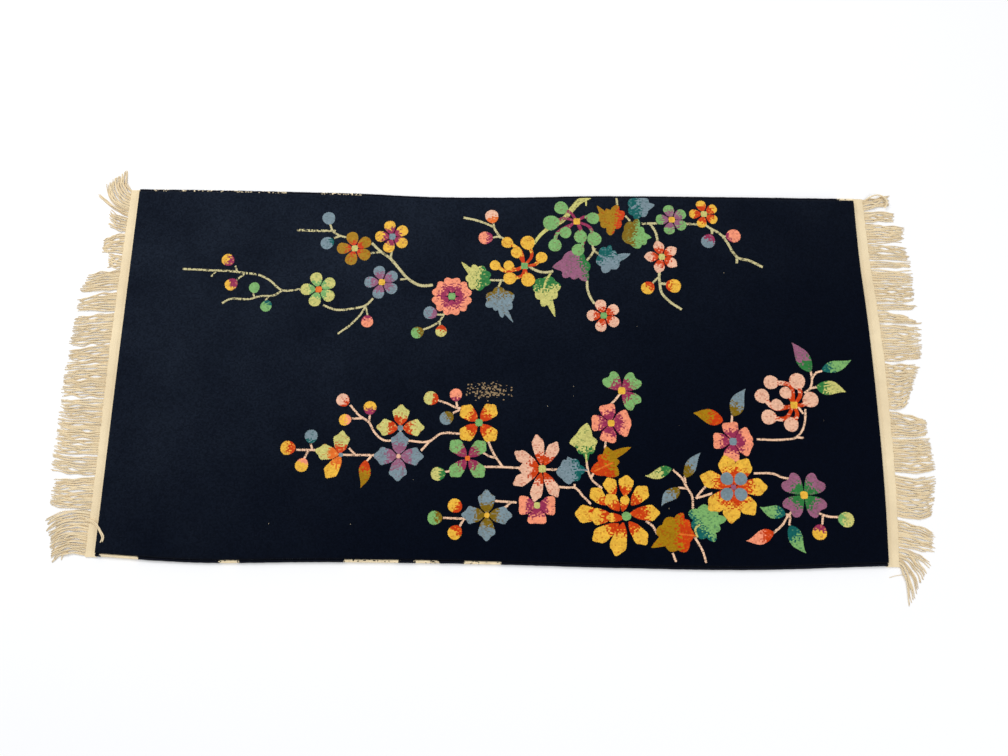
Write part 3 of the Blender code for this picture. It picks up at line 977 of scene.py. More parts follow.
@dataclass
class Bundle:
    """Vertices and faces gathered for one piece, with values at its corners."""

    vertices: list[Array] = field(default_factory=list)
    faces: list[list[int]] = field(default_factory=list)
    corners: dict[str, list[Array]] = field(default_factory=dict)
    size: int = 0

    def add(self, vertices: Array, faces: Sequence[Array], **corners: Sequence[Array]) -> None:
        """Adds one part.

        Args:
            vertices: Its places, (n, 3), in chart millimetres.
            faces: Arrays of faces, one for each number of corners.
            corners: By name, one array of values a corner for each array of faces.
        """
        for k, group in enumerate(faces):
            self.faces += (np.asarray(group) + self.size).tolist()
            for name, values in corners.items():
                self.corners.setdefault(name, []).append(np.asarray(values[k], float))
        self.vertices.append(np.asarray(vertices, float))
        self.size += len(vertices)

    def piece(
        self, name: str, chart: Chart, material: bpy.types.Material
    ) -> bpy.types.Object:
        """Makes the object.

        Args:
            name: The piece's name.
            chart: The chart that places it.
            material: Its finish.

        Returns:
            The new object, at the origin, with its place in its mesh.
        """
        mesh = bpy.data.meshes.new(name)
        places = chart.metres(np.concatenate(self.vertices))
        mesh.from_pydata(places.tolist(), [], self.faces)
        for key, parts in self.corners.items():
            put_corners(mesh, key, np.concatenate(parts))
        mesh.shade_smooth()
        mesh.materials.append(material)
        mesh.update()
        item = bpy.data.objects.new(name, mesh)
        bpy.context.collection.objects.link(item)
        return item


def put_corners(mesh: bpy.types.Mesh, name: str, values: Array) -> None:
    """Stores values at the mesh's corners: pairs as a UV map, single values as an
    attribute, and fours as colours.

    Args:
        mesh: The mesh.
        name: The map's or attribute's name.
        values: (corners,), (corners, 2) or (corners, 4).
    """
    if values.ndim == 2 and values.shape[1] == 2:
        layer = mesh.uv_layers.new(name=name)
        layer.uv.foreach_set("vector", values.ravel())
        return
    if values.ndim == 2:
        layer = mesh.attributes.new(name, "FLOAT_COLOR", "CORNER")
        layer.data.foreach_set("color", values.ravel())
        return
    layer = mesh.attributes.new(name, "FLOAT", "CORNER")
    layer.data.foreach_set("value", values.ravel())


class Yarns(NamedTuple):
    """Many yarns swept at once: vertices, side faces, end faces, and the corner
    values of both."""

    vertices: Array
    faces: list[Array]
    twist: list[Array]
    shade: list[Array]


def sweep_yarns(paths: Array, radii: Array, sides: int, shade: Array) -> Yarns:
    """Carries a round section along many paths at once. At each point the section
    stands square to the path, its first axis level with the floor.

    Args:
        paths: (yarns, points, 3) in millimetres.
        radii: (yarns, points).
        sides: Sides of the section.
        shade: One brightness for each yarn.

    Returns:
        The swept yarns. Their twist map runs once round, and in metres along.
    """
    count, points, _ = paths.shape
    run = np.gradient(paths, axis=1)
    run /= np.maximum(np.linalg.norm(run, axis=2, keepdims=True), 1e-9)
    across = np.cross(run, [0.0, 0.0, 1.0])
    across /= np.maximum(np.linalg.norm(across, axis=2, keepdims=True), 1e-9)
    over = np.cross(across, run)
    angle = 2 * np.pi * np.arange(sides) / sides
    ring = (
        paths[:, :, None, :]
        + (radii[:, :, None] * np.cos(angle))[..., None] * across[:, :, None, :]
        + (radii[:, :, None] * np.sin(angle))[..., None] * over[:, :, None, :]
    )
    index = np.arange(count * points * sides).reshape(count, points, sides)
    here = index[:, :-1, :]
    ahead = index[:, 1:, :]
    turned = np.roll(index, -1, axis=2)
    quads = np.stack([here, ahead, turned[:, 1:, :], turned[:, :-1, :]], axis=-1)
    gaps = np.linalg.norm(np.diff(paths, axis=1), axis=2) * MM
    travel = np.concatenate([np.zeros((count, 1)), np.cumsum(gaps, axis=1)], axis=1)
    round_at = np.arange(sides + 1) / sides
    shape = (count, points - 1, sides)
    low = np.broadcast_to(round_at[:-1], shape)
    high = np.broadcast_to(round_at[1:], shape)
    back = np.broadcast_to(travel[:, :-1, None], shape)
    front = np.broadcast_to(travel[:, 1:, None], shape)
    twist = np.stack(
        [
            np.stack([low, back], -1),
            np.stack([low, front], -1),
            np.stack([high, front], -1),
            np.stack([high, back], -1),
        ],
        axis=-2,
    )
    caps = np.concatenate([index[:, 0, :], index[:, -1, ::-1]])
    cap_twist = np.zeros((len(caps) * sides, 2))
    cap_twist[:, 1] = np.repeat(np.concatenate([travel[:, 0], travel[:, -1]]), sides)
    quad_shade = np.repeat(shade, (points - 1) * sides * 4)
    cap_shade = np.repeat(np.concatenate([shade, shade]), sides)
    return Yarns(
        ring.reshape(-1, 3),
        [quads.reshape(-1, 4), caps],
        [twist.reshape(-1, 2), cap_twist],
        [quad_shade, cap_shade],
    )


# Materials


class Graph:
    """A node tree under construction, with short calls for the nodes used here."""

    def __init__(self, tree: bpy.types.NodeTree) -> None:
        """Takes the tree to build in."""
        self.tree = tree

    def feed(self, socket: Socket, value: Any) -> None:
        """Links a socket to the input, or sets it to a plain value."""
        if isinstance(value, bpy.types.NodeSocket):
            self.tree.links.new(value, socket)
        else:
            socket.default_value = value

    def node(self, kind: str, feeds: dict[str, Any], **settings: Any) -> bpy.types.Node:
        """Adds a node.

        Args:
            kind: Its type, without ShaderNode in front.
            feeds: Inputs by name, each a socket to link or a value.
            settings: Its own settings.

        Returns:
            The node.
        """
        node = self.tree.nodes.new("ShaderNode" + kind)
        for name, value in settings.items():
            setattr(node, name, value)
        for name, value in feeds.items():
            self.feed(node.inputs[name], value)
        return node

    def math(self, operation: str, *values: Any, clamp: bool = False) -> Socket:
        """One Math node, with its inputs in order."""
        node = self.tree.nodes.new("ShaderNodeMath")
        node.operation = operation
        node.use_clamp = clamp
        for k, value in enumerate(values):
            self.feed(node.inputs[k], value)
        return node.outputs[0]

    def vector(self, operation: str, *values: Any) -> Socket:
        """One Vector Math node, with its inputs in order."""
        node = self.tree.nodes.new("ShaderNodeVectorMath")
        node.operation = operation
        for k, value in enumerate(values):
            self.feed(node.inputs[k], value)
        return node.outputs["Vector"]

    def scale(self, vector: Any, factor: Any) -> Socket:
        """A vector or colour times a number."""
        node = self.node("VectorMath", {}, operation="SCALE")
        self.feed(node.inputs[0], vector)
        self.feed(node.inputs["Scale"], factor)
        return node.outputs[0]

    def mix(self, share: Any, one: Any, two: Any) -> Socket:
        """Mixes two colours by a share from 0 to 1."""
        node = self.tree.nodes.new("ShaderNodeMix")
        node.data_type = "RGBA"
        for k, value in ((0, share), (6, one), (7, two)):
            self.feed(node.inputs[k], value)
        return node.outputs[2]

    def ramp(self, value: Any, low: float, high: float) -> Socket:
        """A smooth step from 0 at low to 1 at high."""
        node = self.node(
            "MapRange",
            {"Value": value, "From Min": low, "From Max": high},
            interpolation_type="SMOOTHSTEP",
        )
        return node.outputs[0]

    def noise(self, at: Socket, scale: float, detail: float = 2.0) -> Socket:
        """A soft noise from 0 to 1 with the given number of cells a metre."""
        feeds = {"Vector": at, "Scale": scale, "Detail": detail}
        return self.node("TexNoise", feeds).outputs[0]


def new_group(name: str, inputs: dict[str, float], outputs: Sequence[str]) -> tuple[
    bpy.types.NodeTree, Graph, bpy.types.Node, bpy.types.Node
]:
    """Starts a shader node group.

    Args:
        name: The group's name.
        inputs: Its number inputs with their starting values.
        outputs: The names of its number outputs.

    Returns:
        The group, a graph on it, and its input and output nodes.
    """
    tree = bpy.data.node_groups.new(name, "ShaderNodeTree")
    for key, value in inputs.items():
        socket = tree.interface.new_socket(key, in_out="INPUT", socket_type="NodeSocketFloat")
        socket.default_value = value
    for key in outputs:
        tree.interface.new_socket(key, in_out="OUTPUT", socket_type="NodeSocketFloat")
    entry = tree.nodes.new("NodeGroupInput")
    leave = tree.nodes.new("NodeGroupOutput")
    return tree, Graph(tree), entry, leave


def knot_group() -> bpy.types.NodeTree:
    """Knots in rows: each cell of the grid gets its own random value, and a dome as
    its height. Inputs are the cell's length and breadth in millimetres.

    Returns:
        The group, with outputs Random and Height.
    """
    tree, graph, entry, leave = new_group(
        "knot_rows", {"Length": 2.6, "Breadth": 2.0}, ("Random", "Height")
    )
    at = graph.node("TexCoord", {}).outputs["Object"]
    cell = graph.node("CombineXYZ", {"Z": 1000.0})
    graph.feed(cell.inputs["X"], graph.math("MULTIPLY", entry.outputs["Length"], MM))
    graph.feed(cell.inputs["Y"], graph.math("MULTIPLY", entry.outputs["Breadth"], MM))
    wobble = graph.noise(at, 90.0, 1.0)
    drift = graph.math("MULTIPLY", graph.math("SUBTRACT", wobble, 0.5), 0.004)
    moved = graph.node("CombineXYZ", {"X": drift, "Y": drift}).outputs[0]
    spot = graph.vector("DIVIDE", graph.vector("ADD", at, moved), cell.outputs[0])
    whole = graph.vector("FLOOR", spot)
    random = graph.node("TexWhiteNoise", {"Vector": whole}, noise_dimensions="3D")
    part = graph.vector("SUBTRACT", graph.vector("FRACTION", spot), (0.5, 0.5, 0.5))
    parts = graph.node("SeparateXYZ", {"Vector": part})
    square_x = graph.math("POWER", graph.math("ABSOLUTE", parts.outputs[0]), 2.0)
    square_y = graph.math("POWER", graph.math("ABSOLUTE", parts.outputs[1]), 2.0)
    spread = graph.math("MULTIPLY", graph.math("ADD", square_x, square_y), 3.0)
    dome = graph.math("SUBTRACT", 1.0, spread)
    graph.feed(leave.inputs["Random"], random.outputs["Value"])
    graph.feed(leave.inputs["Height"], dome)
    return tree


def fibre_group() -> bpy.types.NodeTree:
    """Loose fibres on any yarn: fine noise over coarse noise, as a height and as a
    brightness about 1.

    Returns:
        The group, with outputs Height and Bright.
    """
    tree, graph, entry, leave = new_group(
        "loose_fibres", {"Fine": 2500.0, "Coarse": 60.0, "Depth": 0.12}, ("Height", "Bright")
    )
    at = graph.node("TexCoord", {}).outputs["Object"]
    fine = graph.node("TexNoise", {"Vector": at, "Scale": entry.outputs["Fine"], "Detail": 3.0})
    coarse = graph.node(
        "TexNoise", {"Vector": at, "Scale": entry.outputs["Coarse"], "Detail": 3.0}
    )
    mean = graph.math("ADD", fine.outputs[0], graph.math("MULTIPLY", coarse.outputs[0], 1.5))
    swing = graph.math("MULTIPLY", graph.math("SUBTRACT", mean, 1.25), entry.outputs["Depth"])
    graph.feed(leave.inputs["Height"], fine.outputs[0])
    graph.feed(leave.inputs["Bright"], graph.math("ADD", 1.0, swing))
    return tree


def ply_group() -> bpy.types.NodeTree:
    """The plies of a twisted yarn: slanting stripes on the yarn's own twist map, as
    a height from 0 to 1.

    Returns:
        The group, with output Height.
    """
    tree, graph, entry, leave = new_group(
        "twisted_plies", {"Plies": 3.0, "Pitch": 2.4}, ("Height",)
    )
    lie = graph.node("UVMap", {}, uv_map="twist")
    parts = graph.node("SeparateXYZ", {"Vector": lie.outputs[0]})
    along = graph.math(
        "DIVIDE", parts.outputs[1], graph.math("MULTIPLY", entry.outputs["Pitch"], MM)
    )
    turns = graph.math("MULTIPLY", parts.outputs[0], entry.outputs["Plies"])
    phase = graph.math("ADD", turns, along)
    wave = graph.math("ABSOLUTE", graph.math("SINE", graph.math("MULTIPLY", phase, math.pi)))
    graph.feed(leave.inputs["Height"], wave)
    return tree


@dataclass
class Effects:
    """The shared node groups."""

    knots: bpy.types.NodeTree = field(default_factory=knot_group)
    fibres: bpy.types.NodeTree = field(default_factory=fibre_group)
    plies: bpy.types.NodeTree = field(default_factory=ply_group)


class Finish:
    """The start of a material: a graph and its Principled shader."""

    def __init__(self, name: str, effects: Effects) -> None:
        """Makes the material with an empty Principled shader.

        Args:
            name: The material's name.
            effects: The shared node groups.
        """
        self.material = bpy.data.materials.new(name)
        self.material.use_nodes = True
        self.graph = Graph(self.material.node_tree)
        self.shader = self.material.node_tree.nodes["Principled BSDF"]
        self.effects = effects
        self.shader.inputs["Metallic"].default_value = 0.0

    def group(self, tree: bpy.types.NodeTree, **values: float) -> bpy.types.Node:
        """Places a shared group with its own values."""
        node = self.graph.tree.nodes.new("ShaderNodeGroup")
        node.node_tree = tree
        for name, value in values.items():
            node.inputs[name].default_value = value
        return node

    def wool(self, roughness: float, gloss: float, sheen: float) -> None:
        """Sets how the yarn takes light: its roughness, gloss and sheen."""
        self.shader.inputs["Roughness"].default_value = roughness
        self.shader.inputs["Specular IOR Level"].default_value = gloss
        self.shader.inputs["Sheen Weight"].default_value = sheen
        self.shader.inputs["Sheen Roughness"].default_value = 0.45

    def paint(self, colour: Any, height: Any, depth: float) -> bpy.types.Material:
        """Feeds the colour and a bump of the given depth in metres.

        Args:
            colour: The base colour.
            height: The bump's height from 0 to 1.
            depth: How deep a height of 1 is.

        Returns:
            The finished material.
        """
        self.graph.feed(self.shader.inputs["Base Color"], colour)
        bump = self.graph.node("Bump", {"Height": height, "Distance": depth, "Strength": 1.0})
        self.graph.feed(self.shader.inputs["Normal"], bump.outputs[0])
        return self.material


@dataclass(frozen=True)
class PileFinish:
    """Cut wool pile: two dyes mixed knot by knot, a veil of painted sheen and faded dye
    that grows towards the far left, and specks of the cotton foundation."""

    knot_length: float = 2.5
    knot_breadth: float = 2.0
    knot_depth: float = 0.00045
    # pale bluish lift over the navy: painted sheen mixed with faded dye
    sheen_and_fade_veil: tuple[float, float, float] = (0.0062, 0.0085, 0.0125)
    mottle_cells: float = 9.0
    crispness: float = 3.0
    sheen_fade_start: float = -0.35
    sheen_fade_end: float = 0.48
    speck_cells: float = 95.0
    speck_rarity: float = 0.955

    def make(self, effects: Effects) -> bpy.types.Material:
        """Builds the material.

        Args:
            effects: The shared node groups.

        Returns:
            The material.
        """
        finish = Finish("knotted_wool", effects)
        graph = finish.graph
        at = graph.node("TexCoord", {}).outputs["Object"]
        knots = finish.group(
            effects.knots, Length=self.knot_length, Breadth=self.knot_breadth
        )
        fibres = finish.group(effects.fibres, Fine=1800.0, Coarse=70.0, Depth=0.22)
        random = knots.outputs["Random"]
        tip = graph.node("Attribute", {}, attribute_name="tip_dye").outputs["Color"]
        base = graph.node("Attribute", {}, attribute_name="base_dye").outputs["Color"]
        blend = graph.node("Attribute", {}, attribute_name="blend").outputs["Fac"]
        lead = graph.math("SUBTRACT", blend, random)
        share = graph.math("MULTIPLY_ADD", lead, self.crispness, 0.5, clamp=True)
        dyed = graph.mix(share, tip, base)
        swing = graph.math("MULTIPLY_ADD", random, 0.28, 0.84)
        bright = graph.math("MULTIPLY", swing, fibres.outputs["Bright"])
        shown = graph.scale(dyed, bright)
        slope = graph.node("SeparateXYZ", {"Vector": at})
        lean = graph.math(
            "ADD",
            graph.math("MULTIPLY", slope.outputs[0], -0.55),
            graph.math("MULTIPLY", slope.outputs[1], 1.0),
        )
        # painted sheen: the pile is lighter towards the far left, where the key light stands,
        # mixed with faded dye
        fade = graph.ramp(lean, self.sheen_fade_start, self.sheen_fade_end)
        mottle = graph.noise(at, self.mottle_cells, 5.0)
        patchy = graph.math("MULTIPLY", fade, graph.math("MULTIPLY_ADD", mottle, 1.9, 0.1))
        sheen_and_fade = graph.math("MULTIPLY", patchy, graph.math("MULTIPLY_ADD", random, 0.7, 0.65))
        ground = graph.vector("ADD", shown, graph.scale(self.sheen_and_fade_veil, sheen_and_fade))

        dots = graph.node("TexVoronoi", {"Vector": at, "Scale": self.speck_cells}, feature="F1")
        pick = graph.node("SeparateXYZ", {"Vector": dots.outputs["Color"]})
        rare = graph.math("GREATER_THAN", pick.outputs[0], self.speck_rarity)
        tiny = graph.math("MULTIPLY_ADD", pick.outputs[1], 0.04, 0.02)
        inside = graph.math("LESS_THAN", dots.outputs["Distance"], tiny)
        patchiness = graph.math("GREATER_THAN", graph.noise(at, 5.0, 1.0), 0.42)
        speck = graph.math("MULTIPLY", graph.math("MULTIPLY", rare, inside), patchiness)
        speckled = graph.mix(graph.math("MULTIPLY", speck, 0.6), ground, Dye.CREAM.linear())
        bare = graph.node("Attribute", {}, attribute_name="bare").outputs["Fac"]
        thin = graph.math("GREATER_THAN", bare, random)
        worn = graph.mix(graph.math("MULTIPLY", thin, 0.5), speckled, Dye.SHADED_AND_BARE_COTTON.linear())
        height = graph.math(
            "ADD",
            graph.math("MULTIPLY", knots.outputs["Height"], 0.6),
            graph.math("MULTIPLY", fibres.outputs["Height"], 0.6),
        )
        finish.wool(0.9, 0.03, 0.02)
        return finish.paint(worn, height, self.knot_depth)


@dataclass(frozen=True)
class CottonFinish:
    """Undyed cotton yarn: cream that darkens towards shaded cotton by each yarn's
    shade value, which holds painted shade for the fringe's lower layers; twisted
    plies and loose fibres."""

    name: str
    plies: float = 2.0
    pitch: float = 4.5
    depth: float = 0.00022

    def make(self, effects: Effects) -> bpy.types.Material:
        """Builds the material.

        Args:
            effects: The shared node groups.

        Returns:
            The material.
        """
        finish = Finish(self.name, effects)
        graph = finish.graph
        plies = finish.group(effects.plies, Plies=self.plies, Pitch=self.pitch)
        fibres = finish.group(effects.fibres, Fine=3000.0, Coarse=25.0, Depth=0.16)
        shade = graph.node("Attribute", {}, attribute_name="shade").outputs["Fac"]
        cotton = graph.mix(shade, Dye.SHADED_AND_BARE_COTTON.linear(), Dye.CREAM.linear())
        # painted shade: the colour darkens in the grooves between the plies, where the bump is low
        groove = graph.math("MULTIPLY_ADD", plies.outputs["Height"], 0.16, 0.88)
        bright = graph.math("MULTIPLY", groove, fibres.outputs["Bright"])
        shown = graph.scale(cotton, bright)
        height = graph.math(
            "ADD",
            graph.math("MULTIPLY", plies.outputs["Height"], 0.8),
            graph.math("MULTIPLY", fibres.outputs["Height"], 0.5),
        )
        finish.wool(0.85, 0.12, 0.12)
        return finish.paint(shown, height, self.depth)


@dataclass(frozen=True)
class WebFinish:
    """The flat woven end: wefts packed over ribs of warp, with painted shade in the weave's
    hollows and along the dip beside the cord.
    """

    warp_pitch: float = 1.9
    weft_pitch: float = 0.8
    depth: float = 0.0002

    def make(self, effects: Effects) -> bpy.types.Material:
        """Builds the material: a sine across the warps times a sine across the
        wefts, each second weft half a step along.

        Args:
            effects: The shared node groups.

        Returns:
            The material.
        """
        finish = Finish("end_web_cotton", effects)
        graph = finish.graph
        at = graph.node("TexCoord", {}).outputs["Object"]
        parts = graph.node("SeparateXYZ", {"Vector": at})
        weft, warp = (
            graph.math("SINE", graph.math("MULTIPLY", part, math.pi / (pitch * MM)))
            for part, pitch in zip(parts.outputs[:2], (self.weft_pitch, self.warp_pitch))
        )
        woven = graph.math("MULTIPLY_ADD", graph.math("MULTIPLY", weft, warp), 0.5, 0.5)
        fibres = finish.group(effects.fibres, Fine=2600.0, Coarse=40.0, Depth=0.12)
        shade = graph.node("Attribute", {}, attribute_name="shade").outputs["Fac"]
        cotton = graph.mix(shade, Dye.SHADED_AND_BARE_COTTON.linear(), Dye.CREAM.linear())
        # painted shade: the colour darkens where the weave's bump is low
        bright = graph.math(
            "MULTIPLY", graph.math("MULTIPLY_ADD", woven, 0.1, 0.93), fibres.outputs["Bright"]
        )
        shown = graph.scale(cotton, bright)
        height = graph.math("ADD", woven, graph.math("MULTIPLY", fibres.outputs["Height"], 0.4))
        finish.wool(0.88, 0.1, 0.1)
        return finish.paint(shown, height, self.depth)


@dataclass(frozen=True)
class OvercastFinish:
    """Dark wool wrapped over the edge, worn through to cream cotton in places."""

    depth: float = 0.00025

    def make(self, effects: Effects) -> bpy.types.Material:
        """Builds the material. The worn attribute says how bare each place is, and
        each knot cell is bare or not by its own random value.

        Args:
            effects: The shared node groups.

        Returns:
            The material.
        """
        finish = Finish("overcast_wool", effects)
        graph = finish.graph
        knots = finish.group(effects.knots, Length=2.2, Breadth=1.4)
        fibres = finish.group(effects.fibres, Fine=2200.0, Coarse=90.0, Depth=0.4)
        worn = graph.node("Attribute", {}, attribute_name="worn").outputs["Fac"]
        bare = graph.math("GREATER_THAN", worn, knots.outputs["Random"])
        dark = (0.0035, 0.005, 0.011, 1.0)
        colour = graph.mix(bare, dark, Dye.CREAM.linear())
        shown = graph.scale(colour, fibres.outputs["Bright"])
        finish.wool(0.85, 0.08, 0.03)
        return finish.paint(shown, fibres.outputs["Height"], self.depth)


# Pieces


@dataclass
class KnottedPile:
    """The pile field as one closed sheet. Its top is cut along every motif's
    outline, so each knotted colour keeps a crisp edge."""

    chart: Chart
    spacing: float = 3.5
    outline_step: float = 1.6
    tooth: float = 0.42
    groove: float = 0.3
    knot_uneven: float = 0.22
    seed: int = 11
    worn_middle: Place = (-12.0, -39.0)
    worn_reach: Place = (30.0, 12.0)
    worn_depth: float = 2.6
    clearance: float = 1.5
    free_margin: float = 6.0
    rim_insets: tuple[float, ...] = (0.35, 1.2, 2.4, 4.0)
    row_code: int = 100003

    def from_edge(self, x: Array, y: Array) -> Array:
        """How far a place lies inside the pile's edge."""
        inset = SELVEDGE_WIDTH + PIECE_GAP
        ends = np.minimum(x - left_line(y), right_line(y) - x)
        sides = np.minimum(far_line(x) - inset - y, y - near_line(x) - inset)
        return np.minimum(ends, sides)

    def lay(self, u: Array, v: Array) -> Array:
        """Places over the pile for shares u along and v across: each end line and
        long side is fitted in turn, a few times over.

        Args:
            u: Shares along, from 0 to 1.
            v: Shares across, from 0 to 1.

        Returns:
            Chart places, (n, 2).
        """
        inset = SELVEDGE_WIDTH + PIECE_GAP
        x = (u - 0.5) * FIELD_LENGTH
        y = (v - 0.5) * FIELD_WIDTH
        for _ in range(3):
            x = left_line(y) * (1 - u) + right_line(y) * u
            y = (near_line(x) + inset) * (1 - v) + (far_line(x) - inset) * v
        return np.stack([x, y], axis=1)

    def rim(self, inset: float, step: float) -> Array:
        """A closed loop at one distance inside the edge.

        Args:
            inset: The distance from the edge.
            step: The distance between points.

        Returns:
            Chart places, counter-clockwise from the near left corner.
        """
        du = inset / FIELD_LENGTH
        dv = inset / FIELD_WIDTH
        columns = int(FIELD_LENGTH / step)
        rows = int(FIELD_WIDTH / step)
        u = np.linspace(du, 1 - du, columns)
        v = np.linspace(dv, 1 - dv, rows)
        ends = np.ones(rows - 1)
        sides = np.ones(columns - 1)
        loop_u = np.concatenate([u[:-1], ends * (1 - du), u[:0:-1], ends * du])
        loop_v = np.concatenate([sides * dv, v[:-1], sides * (1 - dv), v[:0:-1]])
        return self.lay(loop_u, loop_v)

    def ground(self, noise: np.random.Generator) -> Array:
        """The free points of the ground: rows a spacing apart, every second row half
        a spacing along, each point a little out of line.

        Args:
            noise: The random numbers.

        Returns:
            Chart places, (n, 2).
        """
        start = self.free_margin
        columns = int((FIELD_LENGTH - 2 * start) / self.spacing)
        rows = int((FIELD_WIDTH - 2 * start) / (self.spacing * 0.87))
        u = np.linspace(start / FIELD_LENGTH, 1 - start / FIELD_LENGTH, columns)
        v = np.linspace(start / FIELD_WIDTH, 1 - start / FIELD_WIDTH, rows)
        grid_u, grid_v = np.meshgrid(u, v)
        grid_u[1::2, :-1] += (u[1] - u[0]) / 2
        places = self.lay(grid_u.ravel(), grid_v.ravel())
        return places + noise.uniform(-0.35, 0.35, places.shape)

    def combed(self, outline: Array, noise: np.random.Generator) -> Array:
        """Lays out an outline at even steps and moves every second point outwards
        and the rest inwards, so its edge has the teeth of separate knots.

        Args:
            outline: A closed outline.
            noise: The random numbers.

        Returns:
            The toothed outline, kept inside the pile.
        """
        closed = np.concatenate([outline, outline[:1]])
        gaps = np.hypot(*np.diff(closed, axis=0).T)
        run = np.concatenate([[0.0], np.cumsum(gaps)])
        count = max(6, 2 * int(run[-1] / self.outline_step / 2))
        at = np.linspace(0, run[-1], count + 1)[:-1]
        even = np.stack([np.interp(at, run, closed[:, k]) for k in (0, 1)], axis=1)
        along = np.roll(even, -1, axis=0) - np.roll(even, 1, axis=0)
        along /= np.maximum(np.linalg.norm(along, axis=1)[:, None], 1e-9)
        square = np.stack([along[:, 1], -along[:, 0]], axis=1)
        push = self.tooth * np.where(np.arange(count) % 2, 1.0, -1.0)
        push = push * noise.uniform(0.2, 1.4, count)
        moved = even + square * push[:, None]
        inset = SELVEDGE_WIDTH + PIECE_GAP + 0.8
        moved[:, 1] = np.minimum(moved[:, 1], far_line(moved[:, 0]) - inset)
        moved[:, 1] = np.maximum(moved[:, 1], near_line(moved[:, 0]) + inset)
        return moved

    def owner(self, places: Array, outlines: list[Array]) -> Array:
        """The last outline that holds each place, by counting how often a ray to the
        right crosses it.

        Args:
            places: Chart places, (n, 2).
            outlines: Closed outlines in drawing order.

        Returns:
            For each place the outline's number, or -1 for the ground.
        """
        found = np.full(len(places), -1)
        for k, ring in enumerate(outlines):
            low = ring.min(0)
            high = ring.max(0)
            near = np.flatnonzero(np.all((places >= low) & (places <= high), axis=1))
            if not len(near):
                continue
            x = places[near, 0][:, None]
            y = places[near, 1][:, None]
            x1, y1 = ring[:, 0], ring[:, 1]
            x2, y2 = np.roll(x1, -1), np.roll(y1, -1)
            spans = (y1 > y) != (y2 > y)
            rise = np.where(y2 == y1, 1e-12, y2 - y1)
            crosses = spans & (x < (x2 - x1) * (y - y1) / rise + x1)
            found[near[np.count_nonzero(crosses, axis=1) % 2 == 1]] = k
        return found

    def height(self, x: Array, y: Array, noise: np.random.Generator) -> Array:
        """The pile's top: a quarter circle up from the edge, a nearly level top with
        long shallow waves, each knot a little high or low, and a hollow where it is
        worn to the warps.

        Args:
            x: Places along.
            y: Places across.
            noise: The random numbers.

        Returns:
            Heights in millimetres.
        """
        inside = np.clip(self.from_edge(x, y), 0, None)
        near = np.clip(1 - inside / PILE_ROUND, 0, 1)
        rounding = PILE_ROUND * (1 - np.sqrt(1 - near**2))
        waves = np.sin(x / 83 + 0.6) * np.sin(y / 61 + 1.1) + 0.5 * np.sin(x / 37 - y / 52)
        top = FIELD_HEIGHT - rounding + FIELD_UNEVEN * waves * (1 - near) / 1.5
        top += noise.uniform(-1, 1, x.shape) * self.knot_uneven * (1 - near)
        return top - self.worn_depth * self.worn(x, y)

    def worn(self, x: Array, y: Array) -> Array:
        """How far the pile is worn away: a bell over the worn patch."""
        dx = (x - self.worn_middle[0]) / self.worn_reach[0]
        dy = (y - self.worn_middle[1]) / self.worn_reach[1]
        return np.exp(-((dx**2 + dy**2) ** 1.5))

    def build(self, material: bpy.types.Material) -> bpy.types.Object:
        """Builds the sheet.

        Args:
            material: Its finish.

        Returns:
            The finished piece.
        """
        noise = np.random.default_rng(self.seed)
        patches = sprays()
        outlines = [self.combed(patch.outline, noise) for patch in patches]
        edge = self.rim(0.0, 2.4)
        loops = [edge] + [self.rim(inset, 3.2) for inset in self.rim_insets]
        free = self.ground(noise)
        drawn = np.concatenate(outlines)
        busy = np.floor(drawn / self.clearance).astype(int)
        around = np.array([(i, j) for i in (-1, 0, 1) for j in (-1, 0, 1)])
        busy = (busy[:, None, :] + around).reshape(-1, 2)
        code = np.unique(busy[:, 0] * self.row_code + busy[:, 1])
        spots = np.floor(free / self.clearance).astype(int)
        free = free[~np.isin(spots[:, 0] * self.row_code + spots[:, 1], code)]

        places = np.concatenate([edge, *outlines, *loops[1:], free])
        links = []
        start = 0
        for ring in [edge, *outlines]:
            count = len(ring)
            links += [(start + k, start + (k + 1) % count) for k in range(count)]
            start += count
        flat, _, tops, sources, _, _ = delaunay_2d_cdt(
            [Vector(place) for place in places.tolist()], links, [], 1, 1e-5, True
        )
        flat = np.array([tuple(place) for place in flat])
        tops = np.array(tops)
        corners = flat[tops]
        area = np.cross(corners[:, 1] - corners[:, 0], corners[:, 2] - corners[:, 0])
        tops[area < 0] = tops[area < 0][:, ::-1]
        height = self.height(flat[:, 0], flat[:, 1], noise)
        first = np.array([min(ids) if ids else -1 for ids in sources])
        drawn_point = (first >= len(edge)) & (first < len(edge) + len(drawn))
        height[drawn_point] -= self.groove

